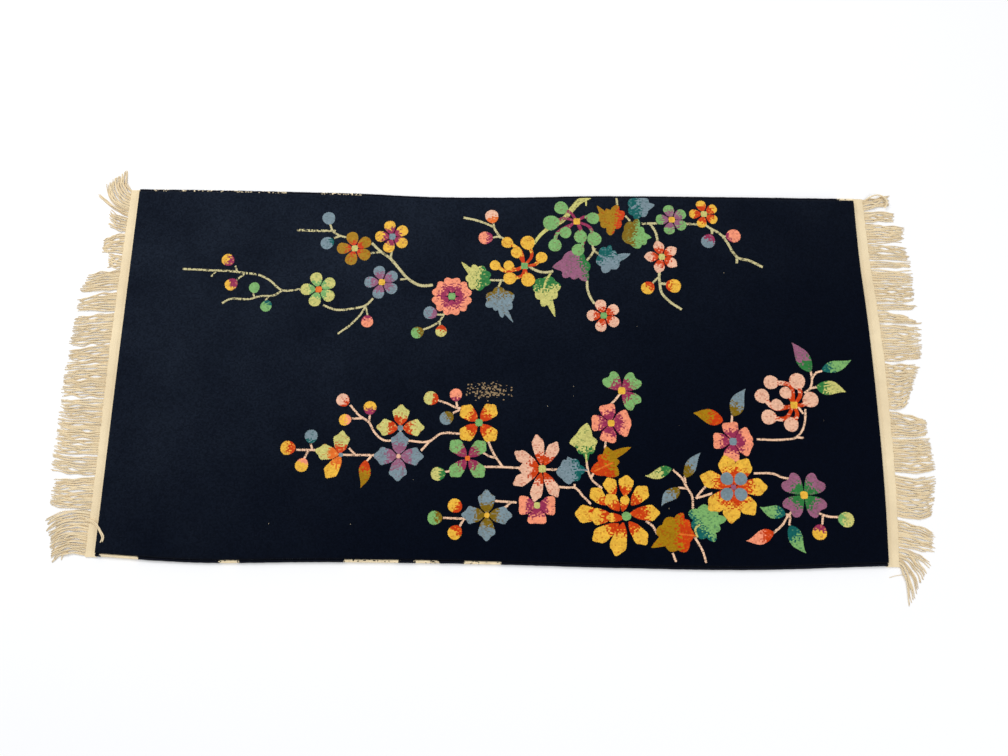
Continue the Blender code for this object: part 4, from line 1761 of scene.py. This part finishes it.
        seat = {source: k for k, ids in enumerate(sources) for source in ids}
        ring = np.array([seat[k] for k in range(len(edge))])
        tops = tops[~np.isin(tops, ring).all(1)]
        foot = len(flat) + np.arange(len(ring))
        under_places = np.concatenate(
            [edge, self.rim(1.2, 3.2), self.rim(20.0, 20.0), self.ground(noise)[::97]]
        )
        under_links = [(k, (k + 1) % len(edge)) for k in range(len(edge))]
        below, _, under, origins, _, _ = delaunay_2d_cdt(
            [Vector(place) for place in under_places.tolist()], under_links, [], 1, 1e-5, True
        )
        below = np.array([tuple(place) for place in below])
        known = np.full(len(below), -1)
        for k, ids in enumerate(origins):
            on_edge = [source for source in ids if source < len(edge)]
            if on_edge:
                known[k] = foot[on_edge[0]]
        extra = np.flatnonzero(known < 0)
        known[extra] = len(flat) + len(ring) + np.arange(len(extra))
        under = np.array(under)
        corners = below[under]
        area = np.cross(corners[:, 1] - corners[:, 0], corners[:, 2] - corners[:, 0])
        under[area > 0] = under[area > 0][:, ::-1]
        under = known[under]
        under = under[~np.isin(under, foot).all(1)]
        follows = np.roll(np.arange(len(ring)), -1)
        walls = np.stack([ring, foot, foot[follows], ring[follows]], axis=1)

        vertices = np.zeros((len(flat) + len(ring) + len(extra), 3))
        vertices[: len(flat), :2] = flat
        vertices[: len(flat), 2] = height
        vertices[foot, :2] = flat[ring]
        vertices[len(flat) + len(ring) :, :2] = below[extra]

        bundle = Bundle()
        bundle.add(
            vertices,
            [tops, walls, under],
            **self.dyes(flat, tops, walls, under, patches, outlines),
            OFBake=self.spread(vertices, tops, walls, under, len(flat)),
        )
        return bundle.piece("knotted_pile", self.chart, material)

    def dyes(
        self,
        flat: Array,
        tops: Array,
        walls: Array,
        under: Array,
        patches: list[Patch],
        outlines: list[Array],
    ) -> dict[str, list[Array]]:
        """The dyes at every corner, with their blend from the tip's, 0, to the
        base's, 1, and how bare the worn places are.

        Args:
            flat: Chart places of the top's vertices.
            tops: The top's triangles.
            walls: The rim's faces.
            under: The underside's triangles.
            patches: The motifs' patches.
            outlines: Their toothed outlines.

        Returns:
            Corner values by name, for the tops, the walls and the underside.
        """
        middles = flat[tops].mean(1)
        inset = SELVEDGE_WIDTH + PIECE_GAP + 0.9
        held = middles.copy()
        held[:, 1] = np.minimum(held[:, 1], far_line(held[:, 0]) - inset)
        owner = self.owner(held, outlines)
        navy = np.array(Dye.NAVY.linear())
        tip_dyes = np.array([patch.tip_dye.linear() for patch in patches] + [navy])
        base_dyes = np.array([patch.base_dye.linear() for patch in patches] + [navy])
        base = np.array([patch.base for patch in patches] + [(0.0, 0.0)])
        axis = np.array([patch.tip for patch in patches] + [(1.0, 0.0)]) - base
        axis /= np.maximum((axis**2).sum(1)[:, None], 1e-9)
        reach = np.array([patch.reach for patch in patches] + [0.0])
        feather = np.array([patch.feather for patch in patches] + [1.0])
        along = ((flat[tops] - base[owner][:, None, :]) * axis[owner][:, None, :]).sum(2)
        blend = (reach[owner][:, None] - along) / feather[owner][:, None] + 0.5
        blend = np.where(owner[:, None] < 0, 0.0, np.clip(blend, 0, 1))
        bare = self.worn(flat[tops][..., 0], flat[tops][..., 1]) * 0.5
        rest = (walls.size, under.size)
        return {
            "tip_dye": [np.repeat(tip_dyes[owner], 3, axis=0)]
            + [np.tile(navy, (count, 1)) for count in rest],
            "base_dye": [np.repeat(base_dyes[owner], 3, axis=0)]
            + [np.tile(navy, (count, 1)) for count in rest],
            "blend": [blend.ravel()] + [np.zeros(count) for count in rest],
            "bare": [bare.ravel()] + [np.zeros(count) for count in rest],
        }

    def spread(
        self, vertices: Array, tops: Array, walls: Array, under: Array, top_count: int
    ) -> list[Array]:
        """The map for baking: the top fills most of the square, the rim's wall is
        folded out round it, and the underside is pressed into a strip below.

        Args:
            vertices: All vertices.
            tops: The top's triangles.
            walls: The rim's faces.
            under: The underside's triangles.
            top_count: How many vertices the top has.

        Returns:
            Map places for the tops, the walls and the underside.
        """
        low = vertices[:top_count, :2].min(0)
        size = vertices[:top_count, :2].max(0) - low
        share = (vertices[:, :2] - low) / size
        top_map = np.array([0.012, 0.082]) + share * np.array([0.976, 0.906])
        fold = top_map.copy()
        gap = np.stack([share[:, 0], 1 - share[:, 0], share[:, 1], 1 - share[:, 1]], axis=1)
        side = gap.argmin(1)
        for k, (axis, value) in enumerate(((0, 0.003), (0, 0.997), (1, 0.073), (1, 0.997))):
            chosen = (side == k) | (gap[:, k] < 0.004)
            fold[chosen, axis] = value
        under_map = np.array([0.012, 0.006]) + share * np.array([0.976, 0.056])
        wall_map = np.stack(
            [top_map[walls[:, 0]], fold[walls[:, 1]], fold[walls[:, 2]], top_map[walls[:, 3]]],
            axis=1,
        )
        return [
            top_map[tops].reshape(-1, 2),
            wall_map.reshape(-1, 2),
            under_map[under].reshape(-1, 2),
        ]


@dataclass
class EndWeb:
    """The flat woven strip at one end, a closed sheet: ribs of warp run outwards,
    and a raised cord of extra wefts lies beside the pile."""

    name: str
    chart: Chart
    side: float
    line: Callable[[Array], Array]
    rows: Sequence[EdgeRow]
    warp_pitch: float = 1.9
    seed: int = 3

    def build(self, material: bpy.types.Material) -> bpy.types.Object:
        """Builds the sheet: its height is a profile over the way outwards, plus a
        sine rib for each warp.

        Args:
            material: Its finish.

        Returns:
            The finished piece.
        """
        noise = np.random.default_rng(self.seed)
        y = np.arange(-FIELD_WIDTH / 2, FIELD_WIDTH / 2 + 0.01, self.warp_pitch / 4)
        t = np.array([0.0, 0.02, 0.08, 0.16, 0.24, 0.3, 0.36, 0.5, 0.65, 0.8, 0.9, 0.97, 1.0])
        profile = np.array(
            [1.6, 2.3, 2.85, 3.05, 2.85, 2.3, 2.15, 2.2, 2.15, 2.2, 2.1, 1.9, 1.4]
        )
        teeth = np.interp(
            y, np.arange(-310, 311, 2.8), noise.uniform(-0.9, 0.9, len(np.arange(-310, 311, 2.8)))
        )
        wide = smooth_read(self.rows, y) + teeth
        inner = self.line(y) + self.side * (PIECE_GAP - 1.4)
        x = inner[:, None] + self.side * (wide + 1.4)[:, None] * t[None, :]
        rib = 0.22 * (np.abs(np.sin(np.pi * y / self.warp_pitch)) - 0.5)
        drift = 0.12 * np.sin(y / 23.0) + 0.1 * np.sin(y / 7.3 + 1)
        fade = np.minimum(1, np.minimum(t, 1 - t) * 12 + 0.15)
        z = profile[None, :] + (rib + drift)[:, None] * fade[None, :]
        grid_y = np.broadcast_to(y[:, None], x.shape)
        top = np.stack([x, grid_y, z], axis=-1)
        low = np.stack([x, grid_y, np.full_like(x, 0.05)], axis=-1)
        rows, columns = x.shape
        index = np.arange(rows * columns).reshape(rows, columns)
        cells = np.stack(
            [index[:-1, :-1], index[:-1, 1:], index[1:, 1:], index[1:, :-1]], axis=-1
        ).reshape(-1, 4)
        flip = self.side < 0
        under = cells + rows * columns
        upper = cells[:, ::-1] if flip else cells
        lower = under if flip else under[:, ::-1]
        ring = np.concatenate([index[0, :-1], index[:-1, -1], index[-1, :0:-1], index[:0:-1, 0]])
        follows = np.roll(ring, -1)
        walls = np.stack([ring, ring + index.size, follows + index.size, follows], axis=1)
        walls = walls[:, ::-1] if flip else walls
        across = np.broadcast_to(t[None, :], x.shape).ravel()
        # painted shade: darker along the dip beside the raised cord, and the underside set darker
        # at 0.6
        groove_shade = np.exp(-(((across - 0.36) / 0.05) ** 2))
        patchy = 0.9 + 0.08 * np.sin(grid_y.ravel() / 31) - 0.14 * groove_shade
        values = np.concatenate([patchy, np.full(index.size, 0.6)])
        faces = [upper, lower, walls]
        bundle = Bundle()
        bundle.add(
            np.concatenate([top.reshape(-1, 3), low.reshape(-1, 3)]),
            faces,
            shade=[values[group].ravel() for group in faces],
        )
        return bundle.piece(self.name, self.chart, material)


class Tuft(NamedTuple):
    """A bunch of fringe between two places along an end web.

    The yarns leave the web at root_far to root_near. Their tips lie at tip_far to
    tip_near, each how far out from the web and where along it. A yarn bends round
    a point that lies lead out from its root and bow along. From the far yarn to
    the near one, lead grows by fan.
    """

    root_far: float
    root_near: float
    tip_far: tuple[float, float]
    tip_near: tuple[float, float]
    lead: float
    bow: float = 0.0
    fan: float = 0.0
    height: float = 2.6


# Each row: root_far, root_near, tip_far, tip_near and how the tuft bends.
LEFT_TUFTS = (
    Tuft(306, 268, (11, 346), (44, 317), lead=10, bow=5, fan=28, height=7.0),
    Tuft(266, 258, (56, 300), (53, 293), lead=24, bow=6, height=4.0),
    Tuft(256, 230, (31, 270), (30, 240), lead=18, bow=2, height=4.5),
    Tuft(228, 191, (35, 214), (34, 194), lead=20),
    Tuft(189, 164, (23, 190), (22, 168), lead=12),
    Tuft(162, 127, (52, 152), (62, 123), lead=26, bow=-2, height=3.4),
    Tuft(123, 90, (63, 111), (61, 90), lead=30, height=3.0),
    Tuft(87, 36, (62, 80), (66, 30), lead=30, bow=-4),
    Tuft(34, 10, (65, 22), (64, 6), lead=30, bow=-3),
    Tuft(8, -56, (66, 1), (69, -54), lead=34),
    Tuft(-58, -149, (67, -59), (69, -144), lead=34, bow=-2),
    Tuft(-151, -180, (70, -147), (69, -173), lead=34, bow=-2),
    Tuft(-184, -234, (65, -190), (63, -229), lead=34, bow=-2),
    Tuft(-238, -306, (68, -251), (48, -316), lead=36, bow=9, height=4.0),
)
RIGHT_TUFTS = (
    Tuft(306, 286, (46, 316), (44, 296), lead=22, bow=3, height=5.0),
    Tuft(284, 264, (50, 284), (51, 266), lead=24, bow=2, height=3.4),
    Tuft(262, 228, (64, 257), (60, 232), lead=30, bow=-1),
    Tuft(226, 198, (64, 220), (66, 196), lead=32, bow=-2),
    Tuft(195, 183, (67, 191), (66, 184), lead=32),
    Tuft(180, 123, (67, 178), (62, 125), lead=34, bow=-2),
    Tuft(120, 109, (65, 119), (62, 112), lead=30, bow=-2),
    Tuft(106, 86, (44, 97), (70, 86), lead=26),
    Tuft(84, 21, (66, 80), (60, 26), lead=30, bow=-2),
    Tuft(18, -58, (56, 16), (30, -48), lead=18, bow=-5, height=3.6),
    Tuft(-62, -104, (56, -74), (56, -100), lead=24, bow=-4, height=3.4),
    Tuft(-106, -160, (60, -106), (63, -158), lead=34, bow=-3),
    Tuft(-163, -229, (63, -166), (54, -228), lead=34, bow=-11, height=3.2),
    Tuft(-235, -275, (54, -252), (55, -284), lead=26, bow=-5, height=3.6),
    Tuft(-278, -305, (50, -297), (9, -367), lead=32, bow=-5, fan=-24, height=4.6),
)


@dataclass
class Fringe:
    """The loose cotton yarns of one end, in layers, gathered in wavy bunches."""

    name: str
    chart: Chart
    side: float
    line: Callable[[Array], Array]
    rows: Sequence[EdgeRow]
    tufts: Sequence[Tuft]
    pitch: float = 1.12
    radius: float = 0.82
    points: int = 17
    sides: int = 5
    bunch: int = 4
    wave: float = 1.0
    seed: int = 21

    def build(self, material: bpy.types.Material) -> bpy.types.Object:
        """Builds all the yarns at once.

        Args:
            material: Their finish.

        Returns:
            The finished piece.
        """
        noise = np.random.default_rng(self.seed)
        paths = []
        shades = []
        for tuft in self.tufts:
            path, shade = self.lay_tuft(tuft, noise)
            paths.append(path)
            shades.append(shade)
        route = np.concatenate(paths)
        shade = np.concatenate(shades)
        t = np.linspace(0, 1, self.points)
        thick = self.radius * noise.uniform(0.82, 1.15, len(route))
        taper = np.clip(0.72 + t * 2.2, 0, 1) * (1 - 0.42 * t**6)
        yarns = sweep_yarns(route, thick[:, None] * taper[None, :], self.sides, shade)
        bundle = Bundle()
        bundle.add(yarns.vertices, yarns.faces, twist=yarns.twist, shade=yarns.shade)
        return bundle.piece(self.name, self.chart, material)

    def lay_tuft(self, tuft: Tuft, noise: np.random.Generator) -> tuple[Array, Array]:
        """Lays one tuft: each yarn follows a curve with one bend, and waves with its
        bunch and a little on its own. Yarns take turns in three layers, and the lower
        layers are painted darker as shade.

        Args:
            tuft: The tuft.
            noise: The random numbers.

        Returns:
            Paths (yarns, points, 3) and shades (yarns,): painted shade that darkens the
            lower layers, with each yarn's own tone.
        """
        span = tuft.root_far - tuft.root_near
        count = max(3, round(span / self.pitch))
        share = (np.arange(count) + noise.uniform(0.1, 0.9, count)) / count
        root_y = tuft.root_far - span * share
        tip_far = np.array(tuft.tip_far, float)
        tip = tip_far + (np.array(tuft.tip_near, float) - tip_far) * share[:, None]
        longer = noise.uniform(0.93, 1.05, count)
        short = noise.random(count) < 0.12
        longer[short] *= noise.uniform(0.72, 0.94, short.sum())
        foot = self.line(root_y) + self.side * (PIECE_GAP + smooth_read(self.rows, root_y))
        lead = tuft.lead + tuft.fan * share
        start = np.stack([foot - self.side * 3.5, root_y], axis=1)
        bend = np.stack([foot + self.side * lead, root_y + tuft.bow], axis=1)
        end = np.stack([foot + self.side * tip[:, 0] * longer, tip[:, 1]], axis=1)
        end[:, 1] += noise.normal(0, 1.0, count)
        t = np.linspace(0, 1, self.points)[None, :, None]
        flat = (
            (1 - t) ** 2 * start[:, None]
            + 2 * t * (1 - t) * bend[:, None]
            + t**2 * end[:, None]
        )
        run = np.gradient(flat, axis=1)
        run /= np.linalg.norm(run, axis=2, keepdims=True)
        square = np.stack([-run[..., 1], run[..., 0]], axis=-1)
        group = (np.arange(count) + int(noise.integers(0, self.bunch))) // self.bunch
        groups = group.max() + 1
        cycles = noise.uniform(0.9, 2.2, groups)[group]
        phase = noise.uniform(0, 2 * np.pi, groups)[group]
        swing = noise.uniform(0.4, 1.5, groups)[group] * self.wave
        own = noise.uniform(0, 2 * np.pi, count)
        own_swing = noise.uniform(0.15, 0.6, count)
        flat_t = t[0, :, 0][None, :]
        rise = np.clip(flat_t * 3.2, 0, 1)
        sway = swing[:, None] * np.sin(2 * np.pi * cycles[:, None] * flat_t + phase[:, None])
        sway += own_swing[:, None] * np.sin(2 * np.pi * 2.7 * flat_t + own[:, None])
        middle = self.bunch_middle(group, share, span)
        pull = middle[:, None] * np.sin(np.pi * np.clip(flat_t, 0, 1)) ** 0.8 * 0.55
        flat = flat + square * ((sway * rise) + pull * self.side)[..., None]
        layer = np.arange(count) % 3
        layer = noise.permutation(layer) if count > 4 else layer
        low = self.radius * 0.9
        arch = np.sin(np.pi * flat_t) ** 1.2
        lift = low + layer[:, None] * 0.62 * (0.5 + 0.5 * rise)
        lift = lift + (tuft.height - 2.6) * 0.75 * arch * noise.uniform(0.3, 1.0, (count, 1))
        ripple = np.sin(2 * np.pi * cycles[:, None] * 1.3 * flat_t + own[:, None])
        lift = lift + 0.35 * arch * ripple
        settle = lift * (1 - flat_t**5) + low * flat_t**5
        z = np.where(flat_t < 0.12, 0.85 + 0.25 * layer[:, None], settle)
        path = np.concatenate([flat, z[..., None]], axis=-1)
        # painted shade: yarns in the lower layers, under the others, are darker; the noise is each
        # yarn's own tone
        shade = np.clip(0.62 + 0.17 * layer + noise.normal(0, 0.1, count), 0, 1)
        return path, shade

    def bunch_middle(self, group: Array, share: Array, span: float) -> Array:
        """How far each yarn lies from the middle of its bunch, in millimetres."""
        middles = np.array([share[group == k].mean() for k in range(group.max() + 1)])
        return (share - middles[group]) * span


class WornStretch(NamedTuple):
    """A stretch of a long side where the overcasting is worn to the cotton."""

    start: float
    end: float
    bare: float


@dataclass
class Overcast:
    """One overcast long side: a low cord with a wool wrap every few millimetres."""

    name: str
    chart: Chart
    outward: float
    line: Callable[[Array], Array]
    worn: Sequence[WornStretch]
    wrap_pitch: float = 3.0
    wrap_depth: float = 0.11
    off_floor: float = 0.03
    seed: int = 5

    def build(self, material: bpy.types.Material) -> bpy.types.Object:
        """Builds the cord: an arched section along the side, whose radius swells
        with a slanting wave for the wraps.

        Args:
            material: Its finish.

        Returns:
            The finished piece.
        """
        noise = np.random.default_rng(self.seed)
        edge_y = np.array([self.outward * FIELD_WIDTH / 2])
        x = np.arange(left_line(edge_y)[0], right_line(edge_y)[0], 0.9)
        sides = 12
        angle = 2 * np.pi * np.arange(sides) / sides
        middle = self.line(x) - self.outward * SELVEDGE_WIDTH / 2
        wave = np.cos(2 * np.pi * x[:, None] / self.wrap_pitch + angle[None, :])
        uneven = np.interp(x, x[::7], noise.uniform(-0.08, 0.08, len(x[::7])))
        swell = 1 + self.wrap_depth * wave + uneven[:, None]
        half_w = (SELVEDGE_WIDTH / 2 + 0.35) * swell
        half_h = SELVEDGE_HEIGHT / 2 * swell
        y = middle[:, None] + half_w * np.cos(angle)[None, :]
        z = np.clip(SELVEDGE_HEIGHT / 2 + half_h * np.sin(angle)[None, :], self.off_floor, None)
        grid_x = np.broadcast_to(x[:, None], y.shape)
        places = np.stack([grid_x, y, z], axis=-1)
        index = np.arange(y.size).reshape(y.shape)
        turned = np.roll(index, -1, axis=1)
        quads = np.stack([index[:-1], turned[:-1], turned[1:], index[1:]], axis=-1).reshape(-1, 4)
        caps = np.stack([index[0, ::-1], index[-1]])
        bare = np.zeros(len(x))
        for stretch in self.worn:
            inside = np.clip(
                np.minimum(x - stretch.start, stretch.end - x) / 5 + 0.5, 0, 1
            )
            bare = np.maximum(bare, inside * stretch.bare)
        values = np.broadcast_to(bare[:, None], y.shape).ravel()
        faces = [quads, caps]
        bundle = Bundle()
        bundle.add(
            places.reshape(-1, 3), faces, worn=[values[group].ravel() for group in faces]
        )
        return bundle.piece(self.name, self.chart, material)


class Thread(NamedTuple):
    """A loose thread: its points over the chart with their heights, and its
    thickness."""

    points: tuple[tuple[float, float, float], ...]
    thickness: float
    shade: float = 0.9


@dataclass
class LooseThreads:
    """Single threads that have come away from the weave."""

    name: str
    chart: Chart
    threads: Sequence[Thread]
    steps: int = 40
    sides: int = 6

    def build(self, material: bpy.types.Material) -> bpy.types.Object:
        """Builds each thread as a round section on a smooth curve.

        Args:
            material: Their finish.

        Returns:
            The finished piece.
        """
        bundle = Bundle()
        for thread in self.threads:
            knots = np.array(thread.points, float)
            gaps = np.linalg.norm(np.diff(knots, axis=0), axis=1)
            run = np.concatenate([[0.0], np.cumsum(gaps)])
            at = np.linspace(0, run[-1], self.steps)
            tables = [
                tuple(EdgeRow(float(r), float(v)) for r, v in zip(run, knots[:, k]))
                for k in range(3)
            ]
            path = np.stack([smooth_read(table, at) for table in tables], axis=1)
            radius = np.full(self.steps, thread.thickness / 2)
            radius[[0, -1]] *= 0.6
            yarns = sweep_yarns(path[None], radius[None], self.sides, np.array([thread.shade]))
            bundle.add(yarns.vertices, yarns.faces, twist=yarns.twist, shade=yarns.shade)
        return bundle.piece(self.name, self.chart, material)


@dataclass
class Studio:
    """The floor, the lights and the camera."""

    chart: Chart
    lens: float = 27.04
    looks_down: float = 77.6
    roll: float = 0.72
    stands_over: Place = (16.0, -280.2)
    stands_above_pile: float = 1195.0
    floor_half: float = 9.0
    air_strength: float = 0.62

    def floor(self) -> None:
        """A wide pale floor just under the rug."""
        mesh = bpy.data.meshes.new("studio_floor")
        half = self.floor_half
        mesh.from_pydata(
            [(-half, -half, 0), (half, -half, 0), (half, half, 0), (-half, half, 0)],
            [],
            [(0, 1, 2, 3)],
        )
        floor = bpy.data.objects.new("studio_floor", mesh)
        bpy.context.collection.objects.link(floor)
        material = bpy.data.materials.new("studio_paper")
        material.use_nodes = True
        shader = material.node_tree.nodes["Principled BSDF"]
        shader.inputs["Base Color"].default_value = (0.93, 0.93, 0.94, 1.0)
        shader.inputs["Roughness"].default_value = 0.9
        shader.inputs["Specular IOR Level"].default_value = 0.0
        mesh.materials.append(material)

    def light(
        self, name: str, place: tuple[float, float, float], size: float, watts: float
    ) -> None:
        """One soft square light that looks at the rug.

        Args:
            name: Its name.
            place: Where it hangs, in metres.
            size: Its width.
            watts: Its power.
        """
        data = bpy.data.lights.new(name, "AREA")
        data.size = size
        data.energy = watts
        lamp = bpy.data.objects.new(name, data)
        bpy.context.collection.objects.link(lamp)
        lamp.location = place
        lamp.rotation_euler = (-Vector(place)).to_track_quat("-Z", "Y").to_euler()

    def lights(self) -> None:
        """An even white surround with a soft key from the far left."""
        world = bpy.data.worlds.new("studio_air")
        world.use_nodes = True
        sky = world.node_tree.nodes["Background"]
        sky.inputs["Color"].default_value = (0.97, 0.985, 1.0, 1.0)
        sky.inputs["Strength"].default_value = self.air_strength
        bpy.context.scene.world = world
        self.light("key", (-1.6, 1.8, 2.6), 1.8, 62.0)
        self.light("fill", (1.9, -1.2, 2.6), 2.2, 30.0)

    def camera(self) -> None:
        """The camera at the photograph's place: it stands over a point in front of
        the rug and looks down at it."""
        data = bpy.data.cameras.new("photo_camera")
        data.sensor_width = 36.0
        data.lens = self.lens
        camera = bpy.data.objects.new("photo_camera", data)
        bpy.context.collection.objects.link(camera)
        over = (*self.stands_over, FIELD_HEIGHT + self.stands_above_pile)
        camera.location = tuple(self.chart.metres(np.array(over)))
        tilt = math.radians(90 - self.looks_down)
        aim = Vector((0.0, math.sin(tilt), -math.cos(tilt)))
        look = aim.to_track_quat("-Z", "Y")
        camera.rotation_mode = "QUATERNION"
        camera.rotation_quaternion = look @ Quaternion((0, 0, 1), math.radians(self.roll))
        bpy.context.scene.camera = camera

    def build(self) -> None:
        """Sets up the studio."""
        self.floor()
        self.lights()
        self.camera()
        bpy.context.scene.view_settings.view_transform = "Standard"


def report(piece: bpy.types.Object) -> None:
    """Logs a piece's triangles and size."""
    mesh = piece.data
    triangles = sum(len(face.vertices) - 2 for face in mesh.polygons)
    places = np.empty(len(mesh.vertices) * 3)
    mesh.vertices.foreach_get("co", places)
    size = np.ptp(places.reshape(-1, 3), axis=0) / MM
    LOG.info("%s: %d triangles, %.1f x %.1f x %.1f mm", piece.name, triangles, *size)


NEAR_WORN = (
    WornStretch(-603, -546, 1.0),
    WornStretch(-419, -390, 0.95),
    WornStretch(-227, -143, 0.9),
    WornStretch(-117, -82, 0.95),
    WornStretch(-42, 15, 0.95),
)
FAR_WORN = (
    WornStretch(-590, -360, 0.16),
    WornStretch(-300, -230, 0.35),
    WornStretch(584, 612, 0.9),
)
LOOSE = (
    Thread(
        ((-634, -249, 4.2), (-623, -252, 4.6), (-612, -258, 8.4), (-603, -268, 12.2),
         (-598, -276, 12.2), (-599, -284, 11.8)), 2.2, 0.95,
    ),
    Thread(
        ((-634, -251, 4.2), (-623, -254, 4.6), (-612, -261, 8.4), (-604, -270, 12.2),
         (-600, -278, 12.2), (-602, -285, 11.8)), 2.0, 0.8,
    ),
    Thread(((649, -314, 1.0), (636, -318, 0.8), (624, -320, 0.7), (614, -323, 0.7)), 0.8),
    Thread(
        ((634, 306, 2.6), (643, 311, 5.0), (653, 313, 6.5), (663, 309, 6.5), (668, 300, 6.0),
         (664, 290, 4.2)), 2.4, 0.95,
    ),
)


def main() -> None:
    """Builds the rug's looks and the studio, and logs the sizes."""
    logging.basicConfig(level=logging.INFO, format="%(message)s")
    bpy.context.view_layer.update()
    chart = Chart.from_frame()
    effects = Effects()

    pile = KnottedPile(chart).build(PileFinish().make(effects))
    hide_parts("pile_field")

    overcast = OvercastFinish().make(effects)
    far = Overcast("far_overcasting", chart, 1.0, far_line, FAR_WORN).build(overcast)
    near = Overcast("near_overcasting", chart, -1.0, near_line, NEAR_WORN).build(overcast)
    for piece, node in ((far, "selvedge_far"), (near, "selvedge_near")):
        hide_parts(node)

    cotton = CottonFinish("fringe_cotton").make(effects)
    web_cotton = WebFinish().make(effects)
    pieces = [pile, far, near]
    for end, side, line, rows, tufts in (
        ("left", -1.0, left_line, LEFT_WEB, LEFT_TUFTS),
        ("right", 1.0, right_line, RIGHT_WEB, RIGHT_TUFTS),
    ):
        web = EndWeb(end + "_web", chart, side, line, rows).build(web_cotton)
        fringe = Fringe(end + "_fringe_yarns", chart, side, line, rows, tufts).build(cotton)
        for piece in (web, fringe):
            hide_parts("fringe_" + end)
            pieces.append(piece)

    threads = LooseThreads("loose_threads", chart, LOOSE).build(cotton)
    pieces.append(threads)

    for piece in pieces:
        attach(piece, "root")
        report(piece)
    Studio(chart).build()


if __name__ == "__main__":
    main()
